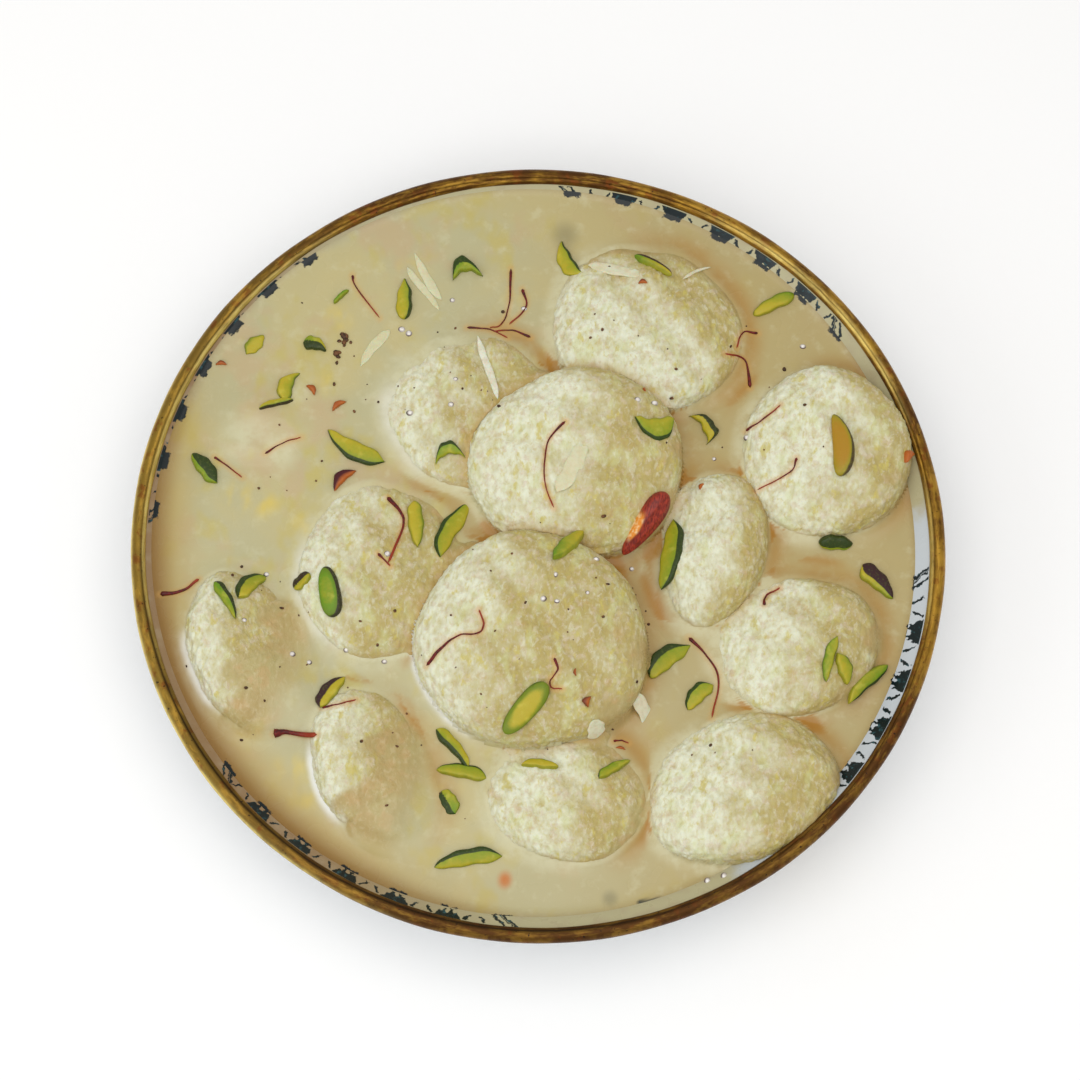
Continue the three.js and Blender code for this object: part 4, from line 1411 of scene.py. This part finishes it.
def close_below(milk, height):
    """Carries the edge of the milk's surface down the wall and over the floor into one closed body."""
    only(milk)
    mode("EDIT")
    bpy.ops.mesh.select_mode(type="VERT")
    bpy.ops.mesh.select_all(action="DESELECT")
    bpy.ops.mesh.select_non_manifold()
    for depth in (height - 1.5, *MILK_DEPTHS):
        bpy.ops.mesh.extrude_region()
        mode("OBJECT")
        points = read_points(milk)
        chosen = np.zeros(len(points), dtype=bool)
        milk.data.vertices.foreach_get("select", chosen)
        angle = np.arctan2(points[chosen, 1], points[chosen, 0])
        radius = milk_edge(angle, depth) - MILK_CLEARANCE
        ring = np.column_stack([radius * np.cos(angle), radius * np.sin(angle), np.full(len(angle), depth)])
        points[chosen] = ring
        write_points(milk, points)
        mode("EDIT")
    bpy.ops.mesh.extrude_region()
    bpy.ops.mesh.merge(type="CENTER")
    mode("OBJECT")


class MilkPlan:
    """The milk's surface from above: where each point lies, and what is beside it and below it."""

    def __init__(self, flat, level, climb):
        share, angle = grid_on_disc(flat[:, 0], flat[:, 1])
        edge = milk_edge(np.where(share < 0, angle + math.pi, angle), level + climb)
        self.level = level
        self.x = share * edge * np.cos(angle)
        self.y = share * edge * np.sin(angle)
        self.from_wall = edge * (1 - np.abs(share))
        self.cover, self.wet, self.tanned, self.low = disc_cover(self.x, self.y, level)
        self.far, self.side, self.gleam = beside_discs(self.x, self.y, level, self.cover)
        self.film = smoothstep(self.wet, 0.65, 1.0) * (self.cover > level)
        self.soft_film = blurred(self.film, 2)


def milk_heights(plan, climb):
    """Level milk with slight waves, which climbs the wall and the discs and covers the discs' wet sides."""
    wave = 0.06 * np.sin(plan.x / 7.3 + 1) * np.cos(plan.y / 8.9) + 0.04 * np.sin((plan.x - plan.y) / 4.7)
    rise = np.exp(-plan.from_wall / WALL_REACH)
    beside_low = blurred(plan.low, 4) > 0.01
    open_side = 1 - beside_low * smoothstep(plan.side, 0.3, -0.3)
    cling = np.exp(-plan.far / DISC_REACH) * (1 - rise) * open_side
    z = plan.level + climb * (rise + 1.7 * cling) + wave * (1 - rise) * (1 - cling)
    z = np.where(plan.from_wall > 2, blurred(z, 1), z)
    over_disc = plan.cover + FILM - FILM_SINKS * (1 - plan.film)
    z = np.where(plan.cover > plan.level, np.maximum(z, over_disc), z)
    filled = np.maximum(blurred(z, 3) - z, 0)
    z += filled * smoothstep(plan.soft_film, 0.02, 0.3)
    around_low = smoothstep(blurred(plan.film * plan.low, 16), 0.03, 0.3)
    return z + (sloped(z, 6, 4) - z) * around_low


def milk_depth(plan, points):
    """How deep and amber the milk looks, together with painted shade: most in narrow gaps between discs."""
    discs = Surface(["cheese_" + row["name"] for row in DISCS])
    in_open = plan.cover < plan.level
    shut_in = np.array([
        discs.enclosure(point, NARROW) if is_open else 0 for point, is_open in zip(points.tolist(), in_open)
    ])
    return 0.95 * smoothstep(shut_in, 0.03, 0.26) * (1 - 0.6 * plan.soft_film) * smoothstep(plan.x, -62, -46)


def milk_tints(plan, points):
    """What the milk's material reads at each point."""
    x, y, far, side = plan.x, plan.y, plan.far, plan.side
    # amber deep milk with painted shade, in narrow gaps between discs
    deep = milk_depth(plan, points)
    bare = (1 - 0.8 * deep) * smoothstep(plan.soft_film, 0.1, 0)
    # skirt and rim: thin milk over the cheese beside the discs, paler only on their lit side as painted light
    skirt = (0.65 - 0.5 * plan.gleam) * smoothstep(far, 4, 0.3) * smoothstep(side, -0.2, 0.6)
    rim = 0.7 * smoothstep(far, 1.0, 0) * smoothstep(side, -0.6, 0.2)
    # a painted highlight where the milk climbs the lit side of a disc
    gleaming = plan.gleam * smoothstep(side, 0.72, 0.92) * bare
    # painted shade in the milk on the side of each disc away from the light
    lee = smoothstep(-side, 0.0, 0.7) * smoothstep(far, 6.5, 0.5) * (plan.cover < plan.level)
    filmed = smoothstep(plan.wet, 0.3, 0.65) * (plan.cover > plan.level - 1) * plan.tanned
    left = facing(np.arctan2(y, x), 213, 0.4, 0.96)
    spot_x, spot_y, spot = ORANGE_SPOT
    start, end, reach = LONE_MARK
    return dict(
        thin=np.maximum(np.maximum(skirt, rim) * bare, 0.85 * spots(x, y, HAZES)),
        line=blurred(gleaming * smoothstep(far, 1.2, 0.4), 1),
        lee=blurred(lee, 3) * smoothstep(x, -50, -5),
        film=blurred(filmed, 2),
        deep=deep,
        halo=0.45 * halo_share(points),
        warm=0.85 * smoothstep(x + 0.1 * y, -30, 55),
        # edge: painted shadow of the band and the wall on the milk beside them, widest on the left
        edge=(0.25 + 0.6 * left) * smoothstep(plan.from_wall, 2 + 5.5 * left, -0.5),
        gold=0.8 * left * smoothstep(plan.from_wall, 15, 2),
        border=border_through_milk(x, y, plan.from_wall),
        ghost=0.3 * spots(x, y, GHOSTS, 0.5),
        streak=spots(x, y, STREAKS),
        orange=0.9 * smoothstep(np.hypot(x - spot_x, 0.8 * (y - spot_y)), spot, 0.4),
        mark=0.9 * smoothstep(segment_distance(x, y, start, end), reach, 0.35),
    )


class RASMALAI_OT_milk(bpy.types.Operator):
    """Saffron milk up to its level, climbing a little where it meets the wall and the discs"""
    bl_idname = "rasmalai.milk"
    bl_label = "Saffron milk"

    def execute(self, context):
        settings = context.scene.rasmalai_milk
        level, climb = settings.level / MM, settings.climb / MM
        clear_selection()
        bpy.ops.mesh.primitive_grid_add(x_subdivisions=MILK_STEPS, y_subdivisions=MILK_STEPS, size=2)
        milk = added("saffron_milk")
        plan = MilkPlan(read_points(milk) * MM, level, climb)
        write_points(milk, np.column_stack([plan.x, plan.y, milk_heights(plan, climb)]))
        write_values(milk, **milk_tints(plan, read_points(milk)))
        close_below(milk, level)
        settle(milk, milk_finish(settings, context.scene.rasmalai_cheese), "saffron_milk", "milk")
        bpy.ops.object.shade_smooth_by_angle(angle=math.radians(50))
        return {"FINISHED"}


# Toppings

def surface_below():
    """The discs, the milk and the bowl, on which everything else lies."""
    return Surface(["glazed_bowl", "saffron_milk"] + ["cheese_" + row["name"] for row in DISCS])


def strewn(name, detail, rows, shape):
    """One thing for each row of a table, all made from the same sphere and joined. From the sphere's unit
    directions and a row, shape gives the thing's points and the numbers that its material reads."""
    model = ball("model", detail)
    directions = read_points(model) * MM
    things = []
    for row in rows:
        thing = copy_of(model, "thing")
        points, values = shape(directions, *row)
        write_points(thing, points)
        write_values(thing, **values)
        things.append(thing)
    bpy.data.objects.remove(model)
    return joined(things, name)


def sections(directions, squareness):
    """Unit directions as a place along X and a place in a rounded, boxy cross-section."""
    x, y, z = directions.T
    size = np.maximum(np.hypot(y, z), 1e-9)
    across = np.sign(y) * np.abs(y / size) ** squareness
    up = np.sign(z) * np.abs(z / size) ** squareness
    return x, across, up


def cut_form(directions, kind, length, width, wobble, bluntness=(2, 2)):
    """A cut nut lying flat at the origin, its length along X, and each vertex's place across it."""
    thick, outer, inner = CUT_SHAPES[kind]
    along, across, up = sections(directions, 0.5)
    power = np.where(along < 0, *bluntness)
    bow = 0.5 * (1 - np.abs(along) ** power) * (1 + 0.3 * wobble * along)
    ends = length / 2 * along
    outer_edge = np.column_stack([ends - 0.1 * length * bow, outer * width * bow])
    inner_edge = np.column_stack([ends, inner * width * bow])
    share = ((across + 1) / 2)[:, None]
    flat = inner_edge + share * (outer_edge - inner_edge)
    flat[:, 1] -= 0.25 * (outer + inner) * width
    flat[:, 1] += 0.13 * width * wobble * np.sin(2.3 * along + 3 * wobble) * (1 - along ** 2)
    flat[:, 1] += 0.035 * width * np.sin(9 * along + 7 * wobble) * across
    tip = np.clip(1 - np.abs(along) ** 5, 0, 1) ** 0.5
    dish = 1 - 0.12 * across ** 2 + 0.08 * np.sin(4 * along + 5 * wobble)
    z = thick * (0.5 - NUT_SUNK) + up * thick / 2 * tip * dish
    return np.column_stack([flat, z]), across


class RASMALAI_OT_cut_pistachios(bpy.types.Operator):
    """Cut pistachios: slivers with a skinned edge, and a few folded or chipped ones"""
    bl_idname = "rasmalai.cut_pistachios"
    bl_label = "Cut pistachios"

    def execute(self, context):
        settings = context.scene.rasmalai_toppings
        below = surface_below()
        draw = random.Random(settings.seed)

        def cut(directions, kind, x, y, length, width, heading, green, brown, side, tip):
            ends = (draw.choice((2.2, 3.2, 5.0)), draw.choice((2.2, 3.2, 5.0, 8.0)))
            points, across = cut_form(directions, kind, length, width, draw.uniform(-1, 1), ends)
            toward_skin = across * math.copysign(1, side)
            cover = abs(side) - 1
            edge = np.maximum(np.abs(across), np.abs(directions[:, 0]) ** 3)
            return below.lay(points, x, y, heading, length, draw.uniform(-16, 16)), dict(
                green=green + 0.35 * toward_skin + tip * directions[:, 0],
                skin=smoothstep(toward_skin, 0.45 - cover, 1.0 - cover),
                brown=brown,
                rim=0.7 * smoothstep(edge, 0.5, 1) + 0.4 * smoothstep(toward_skin, -0.2, 0.6),
            )

        piece = strewn("cut_pistachios", 4, CUT_PISTACHIOS, cut)
        settle(piece, pistachio_finish(settings), "pistachio", *MILK_AND_DISCS)
        return {"FINISHED"}


def kernel_form(directions, length, width, thick, bend, bluntness=2.8):
    """A split kernel with its flat face up, its length along X, and how near each vertex is to the rim."""
    along, across, up = sections(directions, 0.75)
    power = np.where(along < 0, bluntness - 1.1 * abs(bend) / 1.5, bluntness)
    outline = np.sqrt(np.clip(1 - np.abs(along) ** power, 0, 1)) * (1 + 0.12 * along)
    z = np.where(up > 0, 0.62, 1.0) * up * outline ** 0.8
    x = along * length / 2
    y = across * outline * width / 2 + bend * (along ** 2 - 0.4)
    points = np.column_stack([x, y, thick * (0.5 - NUT_SUNK) + z * thick / 2])
    return points, np.hypot(along, across * outline)


class RASMALAI_OT_kernels(bpy.types.Operator):
    """Three whole pistachio kernels, split face up"""
    bl_idname = "rasmalai.kernels"
    bl_label = "Whole kernels"

    def execute(self, context):
        below = surface_below()
        finish = pistachio_finish(context.scene.rasmalai_toppings)

        def kernel(directions, x, y, length, width, thick, heading, green, brown, rim_skin, side, gold, bend):
            points, rim = kernel_form(directions, length, width, thick, bend)
            lopsided = rim + side * directions[:, 1]
            return below.lay(points, x, y, heading, length), dict(
                green=green + 0.9 * smoothstep(lopsided, 0.35, 1.0),
                skin=rim_skin * smoothstep(lopsided, 0.7, 1.1),
                rim=(1 - gold) * smoothstep(lopsided, 0.4, 1.0),
                gold=gold * (0.9 - 0.5 * smoothstep(lopsided, 0.5, 1.1)),
                brown=brown,
            )

        for name, row in KERNELS.items():
            settle(strewn("kernel_" + name, 5, [row], kernel), finish, "pistachio", name)
        return {"FINISHED"}


class RASMALAI_OT_almond(bpy.types.Operator):
    """The large almond piece with its cut side, and the small almond chips"""
    bl_idname = "rasmalai.almond"
    bl_label = "Almond"

    def execute(self, context):
        below = surface_below()
        finish = almond_finish(context.scene.rasmalai_toppings)

        def nut(directions, x, y, length, width, thick, heading):
            along, across, up = sections(directions, 0.7)
            outline = np.sqrt(np.clip(1 - np.abs(along) ** 2.4, 0, 1)) * (1 - 0.32 * along)
            furrows = 1 + 0.04 * np.sin(9 * across + 2 * along)
            points = np.column_stack([
                along * length / 2, across * outline * width / 2 * furrows / 1.1,
                thick * (0.5 - NUT_SUNK) + up * outline * thick / 2 * furrows / 1.1,
            ])
            notch = smoothstep(-across + 0.15 * np.sin(6 * along), 0.55, 0.8)
            return below.lay(points, x, y, heading, length), dict(
                flesh=notch * smoothstep(np.abs(along - 0.2), 0.5, 0.25),
                # painted shade along the long side that lies to the lower right
                dark=0.5 * smoothstep(across, 0.5, 1.0),
            )

        def chip(directions, x, y, length, width, heading, dark):
            points, across = cut_form(directions, "shard", length, width * 0.8, 0.4)
            points[:, 2] *= min(1, width / 2.5)
            shade = dark * smoothstep(across, -0.8, 0.6)
            return below.lay(points, x, y, heading, length), dict(rust=1.0, dark=shade)

        settle(strewn("red_almond", 5, [ALMOND], nut), finish, "almond", "almond")
        settle(strewn("almond_chips", 3, ALMOND_CHIPS, chip), finish, "almond", *MILK_AND_DISCS)
        return {"FINISHED"}


class RASMALAI_OT_flakes(bpy.types.Operator):
    """Blanched almond flakes, thin and slightly curled"""
    bl_idname = "rasmalai.flakes"
    bl_label = "Almond flakes"

    def execute(self, context):
        below = surface_below()

        def flake(directions, i, x, y, length, width, heading, sunk):
            points, _ = cut_form(directions, "flake", length, width, math.sin(3 * i), (3, 5))
            points[:, 2] = (0.7 - 0.5 * sunk) * points[:, 2] + 0.12 * (1 - sunk)
            points[:, 1] += 0.05 * length * np.sin(math.pi * points[:, 0] / length + i)
            return below.lay(points, x, y, heading, length), dict(sunk=0.8 * sunk)

        piece = strewn("almond_flakes", 4, [(i, *row) for i, row in enumerate(FLAKES)], flake)
        settle(piece, flake_finish(), "almond_flake", *MILK_AND_DISCS)
        return {"FINISHED"}


def draped(route, below, lift):
    """A route on the plan laid over what is below it, without following every furrow."""
    heights = np.array([below.height(x, y) for x, y in route])
    kernel = np.array([0.25, 0.5, 0.25])
    for _ in range(2):
        padded = np.concatenate([heights[:1], heights, heights[-1:]])
        heights = np.maximum(np.convolve(padded, kernel, mode="valid"), heights - 0.1)
    return np.column_stack([route, heights + lift])


def tube_form(directions, route, radii):
    """Rings of a sphere, pole to pole, drawn out along a route; also each vertex's share of the way."""
    share = np.arccos(np.clip(directions[:, 2], -1, 1)) / math.pi
    around = np.arctan2(directions[:, 1], directions[:, 0])
    steps = np.linspace(0, 1, len(route))
    centre = np.column_stack([np.interp(share, steps, route[:, axis]) for axis in range(3)])
    way = np.gradient(route, axis=0)
    way /= np.linalg.norm(way, axis=1)[:, None]
    side = np.column_stack([-way[:, 1], way[:, 0], np.zeros(len(way))])
    side /= np.linalg.norm(side, axis=1)[:, None]
    side = np.column_stack([np.interp(share, steps, side[:, axis]) for axis in range(3)])
    size = np.interp(share, steps, radii)
    pole = (share > 1e-4) & (share < 1 - 1e-4)
    size = size * pole
    spread = side * (np.cos(around) * size)[:, None]
    rise = np.outer(np.sin(around) * size, (0, 0, 1))
    return centre + spread + rise, share


class RASMALAI_OT_saffron(bpy.types.Operator):
    """Saffron threads, thick at the dark head and fine at the tail"""
    bl_idname = "rasmalai.saffron"
    bl_label = "Saffron"

    def execute(self, context):
        settings = context.scene.rasmalai_toppings
        below = surface_below()
        threads = []
        for i, (places, width) in enumerate(THREADS):
            route = eased(places, 9)
            ripple = 0.05 * np.sin(np.arange(len(route)) * 0.9 + i)
            route[:, 0] += ripple
            route[:, 1] -= ripple
            share = np.linspace(0, 1, len(route))
            radii = width * (0.22 + 0.22 * smoothstep(share, 0.4, 0.0) + 0.02 * np.sin(11 * share + i))
            clear_selection()
            bpy.ops.mesh.primitive_uv_sphere_add(segments=8, ring_count=len(route) + 1, radius=1)
            thread = added("thread")
            directions = read_points(thread) * MM
            points, tail = tube_form(directions, draped(route, below, 0.16 * width), radii)
            write_points(thread, points)
            write_values(thread, tail=tail)
            threads.append(thread)
        piece = joined(threads, "saffron_threads")
        closed_outwards(piece)
        settle(piece, saffron_finish(settings), "saffron", *MILK_AND_DISCS)
        return {"FINISHED"}


def speck_rows(draw, fine):
    """Place and size of the specks that stand out, of the clumps' seeds and of this many fine specks."""
    rows = [(x, y, draw.uniform(0.45, 1.1)) for x, y in SPECKS]
    for x, y, spread, number in CLUMPS:
        for _ in range(number):
            place = (x + draw.uniform(-0.5, 0.5) * spread, y + draw.uniform(-0.5, 0.5) * spread)
            rows.append((*place, draw.uniform(1.1, 1.5)))
    total = len(rows) + fine
    while len(rows) < total:
        near = draw.choice(SPECKS)
        place = (near[0] + draw.gauss(0, FINE_SPREAD), near[1] + draw.gauss(0, FINE_SPREAD))
        if math.hypot(*place) <= FINE_WITHIN:
            rows.append((*place, draw.uniform(0.25, 0.5)))
    return rows


class RASMALAI_OT_specks(bpy.types.Operator):
    """Crushed cardamom: specks that stand out and a dusting of finer ones"""
    bl_idname = "rasmalai.specks"
    bl_label = "Cardamom specks"

    def execute(self, context):
        settings = context.scene.rasmalai_toppings
        below = surface_below()
        draw = random.Random(settings.seed)

        def grain(directions, x, y, size):
            lie = np.array([draw.uniform(-1, 1) for _ in range(3)])
            uneven = 1 + 0.22 * np.sin(3 * directions @ lie + size)
            stretch = np.array([draw.uniform(0.7, 1.3), draw.uniform(0.7, 1.1), 0.7])
            points = directions * uneven[:, None] * stretch * size / 2
            turn = Matrix.Rotation(draw.uniform(0, math.pi), 4, "Z")
            place = Matrix.Translation((x, y, below.height(x, y) + 0.12 * size))
            return moved(points, place @ turn), {}

        piece = strewn("cardamom_specks", 2, speck_rows(draw, settings.specks), grain)
        settle(piece, cardamom_finish(), "cardamom", *MILK_AND_DISCS)
        return {"FINISHED"}


class RASMALAI_OT_bubbles(bpy.types.Operator):
    """Tiny silvery bubbles on the milk and the discs"""
    bl_idname = "rasmalai.bubbles"
    bl_label = "Bubbles"

    def execute(self, context):
        below = surface_below()
        draw = random.Random(context.scene.rasmalai_toppings.seed + 1)

        def bubble(directions, x, y):
            size = draw.uniform(1.3, 2.0)
            place = (x, y, below.height(x, y) - 0.1 * size)
            oblong = np.array([draw.uniform(0.8, 1.2), draw.uniform(0.8, 1.1), 0.7])
            spoke = np.hypot(directions[:, 0], directions[:, 1])
            turn = np.arctan2(directions[:, 1], directions[:, 0]) - draw.uniform(-math.pi, math.pi)
            # ring: the painted dark rim of the bubble, darker on one side
            ring = smoothstep(spoke, 0.4, 0.75) * (0.65 + 0.35 * np.cos(turn))
            return directions * size / 2 * oblong + place, dict(ring=ring)

        piece = strewn("milk_bubbles", 3, BUBBLES, bubble)
        settle(piece, bubble_finish(), "saffron_milk", *MILK_AND_DISCS)
        return {"FINISHED"}


# Stage

def soft_light(name, place, power, size, colour):
    """An area light at a place in mm, aimed at the bowl."""
    clear_selection()
    bpy.ops.object.light_add(type="AREA", location=Vector(place) * MM)
    light = bpy.context.object
    light.name = name
    light.data.energy = power
    light.data.size = size * MM
    light.data.color = colour
    light.rotation_euler = (-light.location).to_track_quat("-Z", "Y").to_euler()
    return light


class RASMALAI_OT_stage(bpy.types.Operator):
    """Pale floor, soft studio light and the camera"""
    bl_idname = "rasmalai.stage"
    bl_label = "Stage"

    def execute(self, context):
        settings = context.scene.rasmalai_stage
        clear_selection()
        bpy.ops.mesh.primitive_plane_add(size=4)
        floor = added("floor")
        finish = Finish("pale_floor", {"Roughness": 0.9, "Specular IOR Level": 0.1})
        finish.done(finish.mix(finish.noise(180, 2), linear(253, 253, 253), linear(255, 255, 255)))
        floor.data.materials.append(finish.material)
        soft_light("key", (-560, -430, 520), settings.key, 420, (0.93, 0.97, 1.0))
        soft_light("overhead", (0, -190, 900), settings.top, 900, (1.0, 0.99, 0.972))
        world = bpy.data.worlds.new("studio")
        world.use_nodes = True
        background = world.node_tree.nodes["Background"]
        background.inputs["Color"].default_value = (1.0, 0.992, 0.976, 1)
        background.inputs["Strength"].default_value = 0.655
        context.scene.world = world
        context.scene.view_settings.view_transform = "Standard"
        back = Vector((0, -math.cos(settings.elevation), math.sin(settings.elevation)))
        right = Vector((1, 0, 0))
        turn = Matrix.Rotation(settings.roll, 3, back)
        axes = Matrix([turn @ right, turn @ back.cross(right), back]).transposed()
        bpy.ops.object.camera_add(location=Vector(AIM) * MM + back * settings.distance)
        camera = bpy.context.object
        camera.matrix_world = Matrix.Translation(camera.location) @ axes.to_4x4()
        camera.data.lens = settings.lens
        camera.data.sensor_width = 36
        context.scene.camera = camera
        return {"FINISHED"}


class RASMALAI_PT_panel(bpy.types.Panel):
    """Lists the settings and the steps that make the helping"""
    bl_idname = "RASMALAI_PT_panel"
    bl_label = "Rasmalai"
    bl_space_type = "VIEW_3D"
    bl_region_type = "UI"
    bl_category = "Rasmalai"

    def draw(self, context):
        for operator in OPERATORS:
            self.layout.operator(operator.bl_idname)
        for name, group in SETTINGS.items():
            box = self.layout.box()
            for key in group.__annotations__:
                box.prop(getattr(context.scene, name), key)


OPERATORS = [
    RASMALAI_OT_bowl, RASMALAI_OT_band, RASMALAI_OT_discs, RASMALAI_OT_milk, RASMALAI_OT_cut_pistachios,
    RASMALAI_OT_kernels, RASMALAI_OT_almond, RASMALAI_OT_flakes, RASMALAI_OT_saffron, RASMALAI_OT_specks,
    RASMALAI_OT_bubbles, RASMALAI_OT_stage,
]


def register():
    for group in SETTINGS.values():
        bpy.utils.register_class(group)
    for name, group in SETTINGS.items():
        setattr(bpy.types.Scene, name, PointerProperty(type=group))
    for operator in OPERATORS:
        bpy.utils.register_class(operator)
    bpy.utils.register_class(RASMALAI_PT_panel)


def unregister():
    bpy.utils.unregister_class(RASMALAI_PT_panel)
    for operator in reversed(OPERATORS):
        bpy.utils.unregister_class(operator)
    for name in SETTINGS:
        delattr(bpy.types.Scene, name)
    for group in reversed(list(SETTINGS.values())):
        bpy.utils.unregister_class(group)


def main():
    register()
    for operator in OPERATORS:
        group, name = operator.bl_idname.split(".")
        getattr(getattr(bpy.ops, group), name)()
    clear_selection()


if __name__ == "__main__":
    main()
